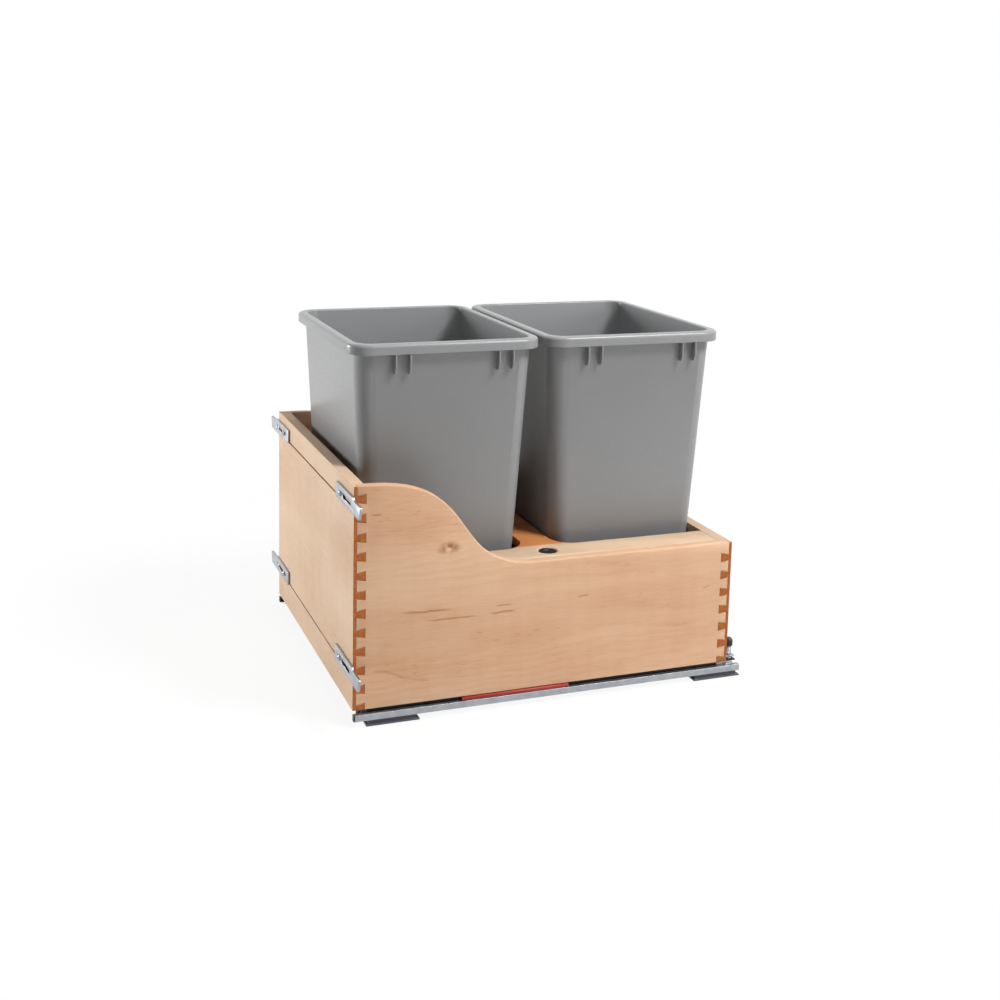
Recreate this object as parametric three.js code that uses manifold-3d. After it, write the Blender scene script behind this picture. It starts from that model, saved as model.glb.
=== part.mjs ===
// Pull-out waste cabinet: a dovetailed wooden box with two lift-out bins,
// on a pair of full-extension undermount slides.
//
// Millimetres, +Z up, -Y is the front (the side that a cabinet door is fixed to).
// Inside the assembly x = 0 is the middle, y = 0 the front face of the wooden box
// and z = 0 its underside. The finished group stands on z = 0, centred on the origin.

import * as THREE from 'three';
import { mergeVertices } from 'three/addons/utils/BufferGeometryUtils.js';
import Module from 'manifold-3d';

const wasm = await Module();
wasm.setup();

// ---- Driving dimensions ----

// Fits
const seat = 0.3; // between pieces that touch
const roll = 0.2; // over and under a roller
const slip = 0.5; // beside a moving piece

// Wooden box
const boxWidth = 454;
const boxDepth = 552;
const frontHeight = 299;
const backHeight = 176.8;
const board = 16; // thickness of the front and back boards
const sideThickness = 12.7;
const swoopStart = 23.8; // where the side's top edge starts to fall, from the front face
const swoopEnd = 253; // where it reaches the low side
const swoopTopPull = 155.2; // length of the curve's upper tangent
const swoopFootPull = 128.5; // length of its lower tangent
const edgeRound = 2; // along the side's top edge, on its outer face

// Half-blind dovetails
const lap = 4; // wood left outside the sockets, and the least above the top one
const pinStart = 2.5; // level of the lowest pin, which the underside cuts through
const pinPitch = 25.4;
const pinRoot = 12.7; // width of a pin at the board's inner face
const pinTip = 8.3; // width at the lap

// Saw kerfs in the front board, which the door brackets hook into
const kerfHeight = 3;
const kerfDepth = 5;
const kerfFromBottom = 42.2;
const kerfFromTop = 32.5;

// Floor panel
const floorThickness = 6;
const floorUnderside = 11.7;
const grooveDepth = 6;

// Deck
const deckThickness = 12;
const cutoutRadius = 32;
const cutoutSideInset = 1.2; // from the rim's outer face in to the cut-out
const frontCutoutInset = 17.8;
const rearCutoutInset = 20.2;
const cleatWidth = 16;
const cleatHeight = 19.3;
const cleatMargin = 44; // from each end board to the cleat
const plugFromSide = 27.3;
const plugRadius = 11.8;
const plugChamfer = 3;
const plugDimpleRadius = 5;

// Bins
const binHeight = 451;
const binSideGap = 46.1; // from the side board to the rim
const binFrontInset = 11.8; // front rim over the front board, from the box's front face
const binRimGap = 7; // between the two rims
const binRearReach = 6; // rear rim past the box's back
const rimRadius = 30;
const skirtHeight = 14.6;
const skirtWall = 2.5;
const rimOverhang = 10;
const rimCrown = 5;
const rimInnerRound = 2;
const binWall = 3;
const binDraft = 21; // how much each half width shrinks from the rim to the base
const binCornerShrink = 2;
const binFoot = 4; // rounding between wall and base
const binBaseRecess = 2;
const binBaseBand = 12; // width of the band that it stands on
const gussetThickness = 2.5;
const gussetDrop = 27; // below the skirt
const gussetInset = 0.5; // from the rim's outer face
const gussetReach = 4; // the same at its foot
const gussetSlant = 8; // height of the slant at the foot
const gussetFromRimEnd = 52.5;
const gussetSpacing = 20.1;
const gussetSetBack = 8; // both pairs sit this far behind the middle
const binCornerSteps = 6;

// Door brackets, measured from their inner end
const bracketReach = 42; // past the side of the box
const bracketLength = 122;
const bracketHeight = 20.7;
const bracketSheet = 1.5;
const bracketDepth = 3.3; // of the shallow pan
const bracketSlant = 5; // the outer end leans in by this towards the bottom
const bracketStepAt = 85;
const bracketStepDown = 3;
const bracketRound = 2.5;
const bracketHoleAt = 17;
const bracketHoleRadius = 2.3;
const bracketScrewAt = 26;
const bracketKeyAt = 39.5;
const bracketKeyRadius = 3.9;
const bracketSlotEnd = 77;
const bracketSlotHeight = 5.6;
const screwShank = 1.9;
const screwHeadRadius = 3.9;
const screwHeadHeight = 2.2;
const screwLength = 13;
const screwRecess = 1.1; // width of the cross recess

// Slides: the three nested sections, folded from sheet
const sheet = 1.5;
const runnerWidth = 26.7; // drawer member's channel
const rollerDiameter = 10.1;
const hookReach = 4.5;
const hookGap = 1.5; // between a hook and the plate that it holds
const midSideGap = 1.4; // intermediate member inside the drawer member
const midLegInset = 2.2;
const midFootGap = 0.5; // over the cabinet member's base
const cabinetInset = 0.9; // cabinet channel narrower than the drawer channel, each side
const shelfReach = 4; // cabinet member's base past the box's side
const shelfHeight = 8.8;
const shelfReturn = 7;
const shelfNose = 18; // the channel's front end slants back by this behind the shelf's
const ledgeReach = 9; // drawer member's flange under the side board
const ledgeDrop = 6.7;
const ledgeDropRear = 14; // where the flange's drop ends, before the box's back
const tongueReach = 17; // flange past the box's back
const cabinetFront = 2.6;
const cabinetRearReach = 19; // past the box's back
const midFront = 22;
const runnerFront = 20.3;
const runnerRearInset = 4; // before the box's back
const runnerNotch = 0.5; // clearance in the back board
const tabStart = 19; // from the cabinet member's rear end
const tabEnd = 6;
const tabRise = 3;

// Roller carriages
const carriageLength = 200;
const lowerCarriageFront = 175;
const upperCarriageFront = 182;
const rollerCount = 5;
const cageHeight = 4;
const cageRail = 2;
const rollerPin = 1.6;

// Small parts of the slides
const capReach = 2.5; // under the front board
const capInset = 2.7; // from the channel's inner side
const capBeyond = 1; // past the flange
const capHeight = 6.7;
const capSpigot = 14; // length in the channel
const guideWidth = 9;
const guideHeight = 6;
const damperGap = 1.2; // beside the drawer member's flange
const damperWidth = 4.6;
const damperHeight = 4.2;
const damperFront = 150;
const damperLength = 155;
const tipThickness = 1.6;
const tipPlug = 10; // length in the shelf
const rivetFromShelf = 12.5;
const rivetRadius = 2.4;
const rivetHeadRadius = 4.2;
const rivetHeadHeight = 1.4;

// Cross rails
const railBeyond = 1; // past the shelf
const railWidth = 73;
const railHeight = 7.4;
const railFoot = 4; // width of the foot flange round the rail
const railFootHeight = 2.2;
const railSkin = 2;
const railRib = 3;
const railBays = 6;
const railBossRadius = 7;
const railHoleRadius = 2.6;
const railFrontStart = 17.5;

// Front locking devices
const lockWidth = 33;
const lockLength = 43;
const lockRearCorner = 8;
const lockUnderside = -1;
const leverThickness = 3;
const leverPivotFromRunner = 18; // pivot to the drawer member's channel
const leverPivotFromFront = 42;
const leverHub = 8;
const leverPaddleFront = 5;
const leverPaddleDepth = 12;
const leverPaddleHalf = 15;
const leverPaddleCorner = 4;
const leverArmHalf = 4.5;
const lockPinRadius = 2.4;
const lockPinHead = 4.4;
const lockPinHeadHeight = 1.8;
const lockPinLength = 10;

// Rear tilt adjusters
const adjusterInset = 7; // stud axis from the edge of the drawer member's tongue
const adjusterBehind = 8.5; // stud axis behind the back board
const knobRadius = 6.2;
const knobHeight = 25;
const knobCollarRadius = 4.4;
const knobCollarHeight = 5.5;
const knobGrips = 8;
const knobGripRadius = 1;
const studRadius = 3;
const studTop = 24;
const studHexRadius = 5.5;
const studHexHeight = 3;
const earSheet = 1.5;
const earUnderside = 4;
const earWallTop = 20;
const earHalfWidth = 6.8;
const earDepth = 15.2;

// ---- Levels and places that follow from them ----

const boxHalf = boxWidth / 2;
const innerHalf = boxHalf - sideThickness;
const backInner = boxDepth - board;
const kerfLevels = [kerfFromBottom, frontHeight - kerfFromTop];
const floorTop = floorUnderside + floorThickness;
const deckTop = backHeight;
const deckUnderside = deckTop - deckThickness;
const rollerRadius = rollerDiameter / 2;

const binBase = floorTop + seat;
const rimHalfX = innerHalf - binSideGap;
const rimHalfY = (boxDepth + binRearReach - binFrontInset - binRimGap) / 4;
const frontBinY = binFrontInset + rimHalfY;
const rearBinY = boxDepth + binRearReach - rimHalfY;
const outerGusset = rimHalfY - gussetFromRimEnd;
const innerGusset = outerGusset - gussetSpacing;
const gussetOffsets = [-outerGusset, -innerGusset, innerGusset, outerGusset].map((y) => y + gussetSetBack);

const cutoutHalfWidth = rimHalfX - cutoutSideInset;
const frontCutoutHalf = rimHalfY - frontCutoutInset;
const frontCutoutStart = frontBinY - frontCutoutHalf;
const frontCutoutEnd = frontBinY + frontCutoutHalf;
const rearCutoutStart = rearBinY - rimHalfY + rearCutoutInset;
const plugX = innerHalf - plugFromSide;
const plugY = (frontCutoutEnd + rearCutoutStart) / 2;
const bracketInner = boxHalf + bracketReach - bracketLength;

const runnerTop = floorUnderside - seat;
const runnerOuter = innerHalf - seat;
const runnerInner = runnerOuter - runnerWidth;
const upperAxis = runnerTop - sheet - roll - rollerRadius;
const midTop = upperAxis - rollerRadius - roll;
const lowerAxis = midTop - sheet - roll - rollerRadius;
const cabinetFloor = lowerAxis - rollerRadius - roll;
const cabinetUnderside = cabinetFloor - sheet;
const midFootUnderside = cabinetFloor + midFootGap;
const runnerHookUnderside = midTop - sheet - hookGap - sheet;
const cabinetHookTop = midFootUnderside + sheet + hookGap + sheet;
const midInner = runnerInner + sheet + midSideGap;
const midOuter = runnerOuter - sheet - midSideGap;
const legInner = midInner + midLegInset;
const legOuter = midOuter - midLegInset;
const cabinetInner = runnerInner + cabinetInset;
const cabinetOuter = runnerOuter - cabinetInset;
const shelfOuter = boxHalf + shelfReach;
const shelfTop = cabinetUnderside + shelfHeight;
const ledgeTop = -seat;
const ledgeUnderside = ledgeTop - sheet;
const ledgeOuter = runnerOuter + ledgeReach;
const ledgeDropEnd = boxDepth - ledgeDropRear;
const tongueEnd = boxDepth + tongueReach;
const cabinetRear = boxDepth + cabinetRearReach;
const midRear = boxDepth;
const runnerRear = boxDepth - runnerRearInset;
const rivetX = shelfOuter - rivetFromShelf;
const railTop = cabinetUnderside - seat;
const railHalfLength = shelfOuter + railBeyond;
const railRearStart = cabinetRear - railWidth;
const adjusterX = ledgeOuter - adjusterInset;
const adjusterY = boxDepth + adjusterBehind;
const earTop = earUnderside + earSheet;

// ---- Geometry helpers ----

function toSolid(geometry) {
  const bare = geometry.clone();
  bare.deleteAttribute('normal');
  bare.deleteAttribute('uv');
  const merged = mergeVertices(bare, 1e-4);
  return new wasm.Manifold(new wasm.Mesh({
    numProp: 3,
    vertProperties: new Float32Array(merged.attributes.position.array),
    triVerts: new Uint32Array(merged.index.array),
  }));
}

function toGeometry(solid) {
  const mesh = solid.getMesh();
  const geometry = new THREE.BufferGeometry();
  geometry.setAttribute('position', new THREE.Float32BufferAttribute(mesh.vertProperties, 3));
  geometry.setIndex(new THREE.BufferAttribute(mesh.triVerts, 1));
  geometry.computeVertexNormals();
  return geometry;
}

function join(first, ...others) {
  return toGeometry(others.reduce((sum, next) => sum.add(toSolid(next)), toSolid(first)));
}

function cut(first, ...tools) {
  return toGeometry(tools.reduce((rest, tool) => rest.subtract(toSolid(tool)), toSolid(first)));
}

function block([x0, x1], [y0, y1], [z0, z1]) {
  const box = new THREE.BoxGeometry(x1 - x0, y1 - y0, z1 - z0);
  return box.translate((x0 + x1) / 2, (y0 + y1) / 2, (z0 + z1) / 2);
}

function shapeOf(points) {
  return new THREE.Shape(points.map(([u, v]) => new THREE.Vector2(u, v)));
}

// A shape drawn in x and y, from z0 to z1.
function extrudeZ(shape, [z0, z1], curveSegments = 4) {
  const options = { depth: z1 - z0, bevelEnabled: false, curveSegments };
  return new THREE.ExtrudeGeometry(shape, options).translate(0, 0, z0);
}

// Turns x, y and z into y, z and x.
const axisCycle = new THREE.Matrix4().set(0, 0, 1, 0, 1, 0, 0, 0, 0, 1, 0, 0, 0, 0, 0, 1);

// A shape drawn in y and z, from x0 to x1.
function extrudeX(shape, [x0, x1], curveSegments = 4) {
  return extrudeZ(shape, [x0, x1], curveSegments).applyMatrix4(axisCycle);
}

// A shape drawn in x and z, from y0 to y1.
function extrudeY(shape, [y0, y1], curveSegments = 4) {
  return extrudeZ(shape, [-y1, -y0], curveSegments).rotateX(Math.PI / 2);
}

// An outline whose corners [u, v, radius] are rounded.
function roundedShape(corners) {
  const shape = new THREE.Shape();
  corners.forEach(([u, v, radius = 0], index) => {
    const corner = new THREE.Vector2(u, v);
    const before = new THREE.Vector2(...corners.at(index - 1)).sub(corner).normalize();
    const after = new THREE.Vector2(...corners[(index + 1) % corners.length]).sub(corner).normalize();
    const half = Math.acos(THREE.MathUtils.clamp(before.dot(after), -1, 1)) / 2;
    const reach = radius / Math.tan(half);
    const start = corner.clone().addScaledVector(before, reach);
    if (index === 0) shape.moveTo(start.x, start.y);
    else shape.lineTo(start.x, start.y);
    if (radius === 0) return;
    const centre = before.clone().add(after).normalize().multiplyScalar(radius / Math.sin(half)).add(corner);
    const end = corner.clone().addScaledVector(after, reach);
    const from = start.sub(centre).angle();
    const to = end.sub(centre).angle();
    shape.absarc(centre.x, centre.y, radius, from, to, before.cross(after) > 0);
  });
  return shape;
}

// The section of a folded sheet: the path is its outer skin, the sheet lies to its right.
function foldedShape(path, thickness) {
  const points = path.map(([u, v]) => new THREE.Vector2(u, v));
  const rightOf = (from, to) => {
    const along = to.clone().sub(from).normalize();
    return new THREE.Vector2(along.y, -along.x);
  };
  const inner = points.map((point, index) => {
    const sides = [];
    if (index > 0) sides.push(rightOf(points[index - 1], point));
    if (index < points.length - 1) sides.push(rightOf(point, points[index + 1]));
    const [first, second = first] = sides;
    const mitre = first.clone().add(second).normalize();
    return point.clone().addScaledVector(mitre, thickness / mitre.dot(first));
  });
  return new THREE.Shape([...points, ...inner.reverse()]);
}

function rod(radius, [z0, z1], segments = 16) {
  const cylinder = new THREE.CylinderGeometry(radius, radius, z1 - z0, segments);
  return cylinder.rotateX(Math.PI / 2).translate(0, 0, (z0 + z1) / 2);
}

// A turned piece about the z axis; the profile [radius, z] runs upwards.
function turned(profile, segments = 16) {
  const points = profile.map(([radius, z]) => new THREE.Vector2(radius, z));
  return new THREE.LatheGeometry(points, segments).rotateX(Math.PI / 2);
}

// A slot with round ends, drawn in x and z.
function slotShape(x0, x1, z, height) {
  const r = height / 2;
  return roundedShape([[x0, z - r, r], [x1, z - r, r], [x1, z + r, r], [x0, z + r, r]]);
}

// Points of a rectangle with rounded corners, anticlockwise, at one level.
function roundedRing({ halfX, halfY, radius, z }) {
  const centres = [[1, 1], [-1, 1], [-1, -1], [1, -1]];
  const points = [];
  centres.forEach(([sx, sy], quarter) => {
    for (let step = 0; step <= binCornerSteps; step += 1) {
      const angle = (quarter + step / binCornerSteps) * Math.PI / 2;
      const x = sx * (halfX - radius) + radius * Math.cos(angle);
      const y = sy * (halfY - radius) + radius * Math.sin(angle);
      points.push([x, y, z]);
    }
  });
  return points;
}

// A closed body through a stack of rings, each with the same number of points.
function loft(rings) {
  const count = rings[0].length;
  const positions = rings.flat(2);
  const indices = [];
  for (let level = 0; level < rings.length - 1; level += 1) {
    for (let step = 0; step < count; step += 1) {
      const a = level * count + step;
      const b = level * count + (step + 1) % count;
      indices.push(a, b, b + count, a, b + count, a + count);
    }
  }
  const last = (rings.length - 1) * count;
  for (let step = 1; step < count - 1; step += 1) {
    indices.push(0, step + 1, step);
    indices.push(last, last + step, last + step + 1);
  }
  const geometry = new THREE.BufferGeometry();
  geometry.setAttribute('position', new THREE.Float32BufferAttribute(positions, 3));
  geometry.setIndex(indices);
  geometry.computeVertexNormals();
  return geometry;
}

// ---- Materials ----

function finish(hex, roughness, metalness) {
  return () => new THREE.MeshStandardMaterial({ color: hex, roughness, metalness });
}

const maple = finish(0xd9b590, 0.5, 0);
const birchPly = finish(0xe0c29c, 0.55, 0);
const greyPlastic = finish(0x97979a, 0.45, 0);
const zincPlate = finish(0xb9bdc2, 0.35, 0.9);
const blackSteel = finish(0x17171a, 0.4, 0.3);
const blackPlastic = finish(0x1b1b1d, 0.5, 0);
const slatePlastic = finish(0x4a4c54, 0.45, 0);
const redPlastic = finish(0xc83c28, 0.4, 0);
const whiteNylon = finish(0xf0f0ec, 0.5, 0);

// ---- Assembly tree ----

const assembly = new THREE.Group();

function place(name, geometry, material) {
  const mesh = new THREE.Mesh(geometry, material());
  mesh.name = name;
  assembly.add(mesh);
  return mesh;
}

// A right-hand piece and its mirror image.
function placePair(name, geometry, material) {
  place(`${name}_right`, geometry, material);
  place(`${name}_left`, geometry, material).scale.x = -1;
}

// ---- Wooden box ----

// Outline of one dovetail pin in y and z, grown by a gap all round.
function pinShape(level, gap) {
  const slope = (pinRoot - pinTip) / 2 / (board - lap);
  const rootHalf = pinRoot / 2 + gap * (1 + slope);
  const tipHalf = pinTip / 2 + gap * (1 - slope);
  return shapeOf([
    [lap - gap, Math.max(level - tipHalf, -gap)],
    [board + gap, Math.max(level - rootHalf, -gap)],
    [board + gap, level + rootHalf],
    [lap - gap, level + tipHalf],
  ]);
}

// The pins of one end board, on both sides, at the front of the box.
function pins(height, gap) {
  const solids = [];
  for (let level = pinStart; level + pinRoot / 2 + lap < height; level += pinPitch) {
    const pin = extrudeX(pinShape(level, gap), [innerHalf - seat, boxHalf + gap * 2]);
    solids.push(pin, mirrorX(pin));
  }
  return solids;
}

// A mirrored copy, its triangles turned so that they still face outwards.
function mirrored(geometry, matrix) {
  const copy = mergeVertices(geometry).applyMatrix4(matrix);
  const corners = Array.from(copy.index.array);
  for (let corner = 0; corner < corners.length; corner += 3) {
    [corners[corner], corners[corner + 1]] = [corners[corner + 1], corners[corner]];
  }
  return copy.setIndex(corners);
}

function mirrorX(geometry) {
  return mirrored(geometry, new THREE.Matrix4().makeScale(-1, 1, 1));
}

// From the front of the box to the same place at its back.
function frontToBack(geometry) {
  const mirror = new THREE.Matrix4().makeScale(1, -1, 1).setPosition(0, boxDepth, 0);
  return mirrored(geometry, mirror);
}

// The space that the floor panel's groove takes from the boards.
function floorGroove() {
  const reachX = innerHalf + grooveDepth;
  const front = board - grooveDepth;
  return block([-reachX, reachX], [front, boxDepth - front], [floorUnderside - seat, floorTop + seat]);
}

// An end board with its pins, at the front of the box.
function endBoard(height) {
  const panel = block([-innerHalf, innerHalf], [0, board], [0, height]);
  const lapSkin = block([-boxHalf, boxHalf], [0, lap], [0, height]);
  const box = block([-boxHalf, boxHalf], [0, board], [0, height]);
  const joined = toSolid(join(panel, lapSkin, ...pins(height, 0)));
  return toGeometry(joined.intersect(toSolid(box)));
}

// Sawn across the closed joint, so they run through the ends of the side boards too.
function kerfs() {
  return kerfLevels.map((level) => {
    const levels = [level - kerfHeight / 2, level + kerfHeight / 2];
    return block([-boxHalf - 1, boxHalf + 1], [-1, kerfDepth], levels);
  });
}

function frontBoard() {
  const pilots = bracketPlaces().map(({ side, level }) => {
    const pilot = rod(screwShank + seat, [-1, screwLength], 12).rotateX(-Math.PI / 2);
    return pilot.translate(side * (bracketInner + bracketScrewAt), 0, level + bracketHeight / 2);
  });
  return cut(endBoard(frontHeight), floorGroove(), ...kerfs(), ...pilots);
}

function backBoard() {
  const notch = block(
    [runnerInner - runnerNotch, innerHalf],
    [backInner - 1, boxDepth + 1],
    [-1, runnerTop + runnerNotch],
  );
  return cut(frontToBack(endBoard(backHeight)), floorGroove(), notch, mirrorX(notch));
}

// The side's outline in y and z, drawn out past its ends and its underside.
function sideOutline(beyond) {
  const outline = new THREE.Shape();
  outline.moveTo(-beyond, -beyond);
  outline.lineTo(boxDepth + beyond, -beyond);
  outline.lineTo(boxDepth + beyond, backHeight);
  outline.lineTo(swoopEnd, backHeight);
  outline.bezierCurveTo(
    swoopEnd - swoopFootPull, backHeight,
    swoopStart + swoopTopPull, frontHeight,
    swoopStart, frontHeight,
  );
  outline.lineTo(-beyond, frontHeight);
  outline.closePath();
  return outline;
}

function sideBoard() {
  const beyond = edgeRound * 2;
  const rounded = new THREE.ExtrudeGeometry(sideOutline(beyond), {
    depth: sideThickness + beyond - edgeRound * 2,
    bevelThickness: edgeRound,
    bevelSize: edgeRound,
    bevelOffset: -edgeRound,
    bevelSegments: 3,
    curveSegments: 24,
  });
  rounded.translate(0, 0, boxHalf - sideThickness - beyond + edgeRound).applyMatrix4(axisCycle);
  const ends = [lap + seat, boxDepth - lap - seat];
  const blank = block([innerHalf, boxHalf], ends, [0, frontHeight]);
  const panel = toGeometry(toSolid(rounded).intersect(toSolid(blank)));
  const rearPins = pins(backHeight, seat).map(frontToBack);
  return cut(panel, floorGroove(), ...kerfs(), ...pins(frontHeight, seat), ...rearPins);
}

function floorPanel() {
  const reachX = innerHalf + grooveDepth - seat;
  const front = board - grooveDepth + seat;
  return block([-reachX, reachX], [front, boxDepth - front], [floorUnderside, floorTop]);
}

function deckPanel() {
  const reach = innerHalf - seat;
  const panel = block([-reach, reach], [board + seat, backInner - seat], [deckUnderside, deckTop]);
  const through = [deckUnderside - 1, deckTop + 1];
  const half = cutoutHalfWidth;
  const frontCutout = roundedShape([
    [-half, frontCutoutStart, cutoutRadius],
    [half, frontCutoutStart, cutoutRadius],
    [half, frontCutoutEnd, cutoutRadius],
    [-half, frontCutoutEnd, cutoutRadius],
  ]);
  const rearCutout = roundedShape([
    [-half, rearCutoutStart, cutoutRadius],
    [half, rearCutoutStart, cutoutRadius],
    [half, backInner + 1],
    [-half, backInner + 1],
  ]);
  const hole = turned([
    [0, deckUnderside - 1],
    [plugRadius, deckUnderside - 1],
    [plugRadius, deckTop - plugChamfer],
    [plugRadius + plugChamfer * 1.5, deckTop + plugChamfer / 2],
    [0, deckTop + plugChamfer / 2],
  ], 32);
  return cut(
    panel,
    extrudeZ(frontCutout, through, 8),
    extrudeZ(rearCutout, through, 8),
    hole.translate(plugX, plugY, 0),
  );
}

function deckCleat() {
  const outer = innerHalf - seat;
  const top = deckUnderside - seat;
  const ends = [board + cleatMargin, backInner - cleatMargin];
  return block([outer - cleatWidth, outer], ends, [top - cleatHeight, top]);
}

function deckPlug() {
  const radius = plugRadius - seat;
  const top = deckTop - plugChamfer;
  return turned([
    [0, deckUnderside + 2],
    [radius - 1, deckUnderside + 2],
    [radius, deckUnderside + 3],
    [radius, top - 1],
    [radius - 1, top],
    [plugDimpleRadius + 1, top],
    [plugDimpleRadius, top - 2],
    [0, top - 2],
  ], 32).translate(plugX, plugY, 0);
}

// ---- Bins ----

function rimRing(inset, z) {
  return roundedRing({
    halfX: rimHalfX - inset,
    halfY: rimHalfY - inset,
    radius: rimRadius - inset,
    z,
  });
}

// The tapering wall's ring at one level above the bin's base.
function wallRing(level, inset) {
  const taper = binDraft * (1 - level / (binHeight - skirtHeight));
  const offset = rimOverhang + taper + inset;
  const radius = rimRadius - rimOverhang / 2 - binCornerShrink * (1 - level / binHeight) - inset;
  return roundedRing({ halfX: rimHalfX - offset, halfY: rimHalfY - offset, radius, z: level });
}

function binShell() {
  const rimUnderside = binHeight - binWall - 0.5;
  const skirtBottom = binHeight - skirtHeight;
  const rings = [
    wallRing(binBaseRecess, binBaseBand + binBaseRecess),
    wallRing(0, binBaseBand),
    wallRing(0, binFoot),
    wallRing(binFoot * 0.3, binFoot * 0.3),
    wallRing(binFoot, 0),
    wallRing(rimUnderside, 0),
    rimRing(skirtWall, rimUnderside),
    rimRing(skirtWall, skirtBottom),
    rimRing(0, skirtBottom),
  ];
  for (const angle of [0, 30, 60, 90]) {
    const turn = THREE.MathUtils.degToRad(angle);
    rings.push(rimRing(rimCrown * (1 - Math.cos(turn)), binHeight - rimCrown * (1 - Math.sin(turn))));
  }
  const inside = binWall + binBaseRecess;
  rings.push(
    wallRing(binHeight, binWall - rimInnerRound),
    wallRing(binHeight - rimInnerRound, binWall),
    wallRing(inside + binFoot, binWall),
    wallRing(inside + binFoot * 0.3, binWall + binFoot * 0.3),
    wallRing(inside, binWall + binFoot),
  );
  return loft(rings);
}

// The short rib under the rim, between the wall and the skirt's outer face.
function gusset(offset) {
  const skirtBottom = binHeight - skirtHeight;
  const wallX = rimHalfX - rimOverhang - 1.5;
  const top = binHeight - binWall;
  const foot = skirtBottom - gussetDrop;
  const outline = shapeOf([
    [wallX - 1.5, foot],
    [rimHalfX - gussetReach, foot],
    [rimHalfX - gussetInset, foot + gussetSlant],
    [rimHalfX - gussetInset, top],
    [wallX, top],
  ]);
  return extrudeY(outline, [offset - gussetThickness / 2, offset + gussetThickness / 2]);
}

function bin() {
  const gussets = gussetOffsets.map(gusset);
  return join(binShell(), ...gussets, ...gussets.map(mirrorX));
}

// ---- Door brackets ----

function bracketPlaces() {
  const places = [];
  for (const [row, kerf] of kerfLevels.entries()) {
    for (const side of [1, -1]) {
      const name = `${row ? 'upper' : 'lower'}_${side > 0 ? 'right' : 'left'}`;
      places.push({ name, side, level: kerf - bracketSheet / 2 });
    }
  }
  return places;
}

// Outline in x and z from the inner end and the underside of the lip.
function bracketShape(inset) {
  const top = bracketHeight - inset;
  const low = top - bracketStepDown;
  const outer = bracketLength - inset;
  const round = bracketRound - inset;
  return roundedShape([
    [inset, inset, round],
    [outer - bracketSlant, inset, round],
    [outer, low, round],
    [bracketStepAt + bracketStepDown - inset, low, 0],
    [bracketStepAt - inset, top, 0],
    [inset, top, round],
  ]);
}

function doorBracket() {
  const face = -seat - bracketDepth;
  const middle = bracketHeight / 2;
  const pan = extrudeY(bracketShape(0), [face, -seat], 2);
  const hollow = extrudeY(bracketShape(bracketSheet), [face + bracketSheet, 1], 2);
  const lip = block(
    [bracketRound, boxHalf - bracketInner - seat],
    [face + bracketSheet / 2, kerfDepth - seat],
    [0, bracketSheet],
  );
  const piercing = [-1, 1 - face];
  const holes = [
    [bracketHoleAt, bracketHoleRadius],
    [bracketScrewAt, bracketHoleRadius],
    [bracketKeyAt, bracketKeyRadius],
  ].map(([at, radius]) => rod(radius, piercing, 12).rotateX(Math.PI / 2).translate(at, 0, middle));
  const slot = extrudeY(slotShape(bracketKeyAt, bracketSlotEnd, middle, bracketSlotHeight), [face - 1, 1], 3);
  return join(cut(pan, hollow, slot, ...holes), lip);
}

// The pan-head screw that holds a bracket, its axis along y.
function bracketScrew() {
  const body = turned([
    [0, -screwLength + 1],
    [screwShank, -screwLength + 1 + screwShank],
    [screwShank, 0],
    [screwHeadRadius, 0],
    [screwHeadRadius, screwHeadHeight * 0.4],
    [screwHeadRadius * 0.7, screwHeadHeight],
    [0, screwHeadHeight],
  ]);
  const reach = screwHeadRadius * 0.5;
  const half = screwRecess / 2;
  const depth = [screwHeadHeight * 0.4, screwHeadHeight + 1];
  const cross = [block([-reach, reach], [-half, half], depth), block([-half, half], [-reach, reach], depth)];
  return cut(body, ...cross).rotateX(Math.PI / 2);
}

// ---- Slides (right-hand ones) ----

function cabinetMember() {
  const length = [cabinetFront, cabinetRear];
  const outer = extrudeY(foldedShape([
    [cabinetInner + hookReach - cabinetInset, cabinetHookTop],
    [cabinetInner, cabinetHookTop],
    [cabinetInner, cabinetUnderside],
    [shelfOuter, cabinetUnderside],
    [shelfOuter, shelfTop],
    [shelfOuter - shelfReturn, shelfTop],
  ], -sheet), length);
  const wall = extrudeY(foldedShape([
    [cabinetOuter - hookReach + cabinetInset, cabinetHookTop],
    [cabinetOuter, cabinetHookTop],
    [cabinetOuter, cabinetFloor - sheet / 2],
  ], sheet), length);
  const tabX = shelfOuter - shelfReturn;
  const tab = extrudeX(shapeOf([
    [cabinetRear - tabStart, shelfTop - sheet / 2],
    [cabinetRear - tabEnd, shelfTop - sheet / 2],
    [cabinetRear - tabEnd, shelfTop],
    [cabinetRear - tabStart, shelfTop + tabRise],
  ]), [tabX, tabX + sheet]);
  const slant = extrudeZ(shapeOf([
    [cabinetInner - 1, cabinetFront - 1],
    [tabX, cabinetFront - 1],
    [tabX, cabinetFront],
    [cabinetInner - 1, cabinetFront + shelfNose],
  ]), [cabinetUnderside - 1, cabinetHookTop + 1]);
  const rivetHoles = rivetPlaces().map((y) => {
    const levels = [cabinetUnderside - 1, cabinetFloor + 1];
    return rod(rivetRadius + seat, levels).translate(rivetX, y, 0);
  });
  return cut(join(outer, wall, tab), slant, ...rivetHoles);
}

function intermediateMember() {
  const length = [midFront, midRear];
  const plate = block([midInner, midOuter], length, [midTop - sheet, midTop]);
  const joint = midTop - sheet / 2;
  const innerLeg = extrudeY(foldedShape([
    [midInner, midFootUnderside],
    [legInner + sheet, midFootUnderside],
    [legInner + sheet, joint],
  ], -sheet), length);
  const outerLeg = extrudeY(foldedShape([
    [midOuter, midFootUnderside],
    [legOuter - sheet, midFootUnderside],
    [legOuter - sheet, joint],
  ], sheet), length);
  return join(plate, innerLeg, outerLeg);
}

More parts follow.
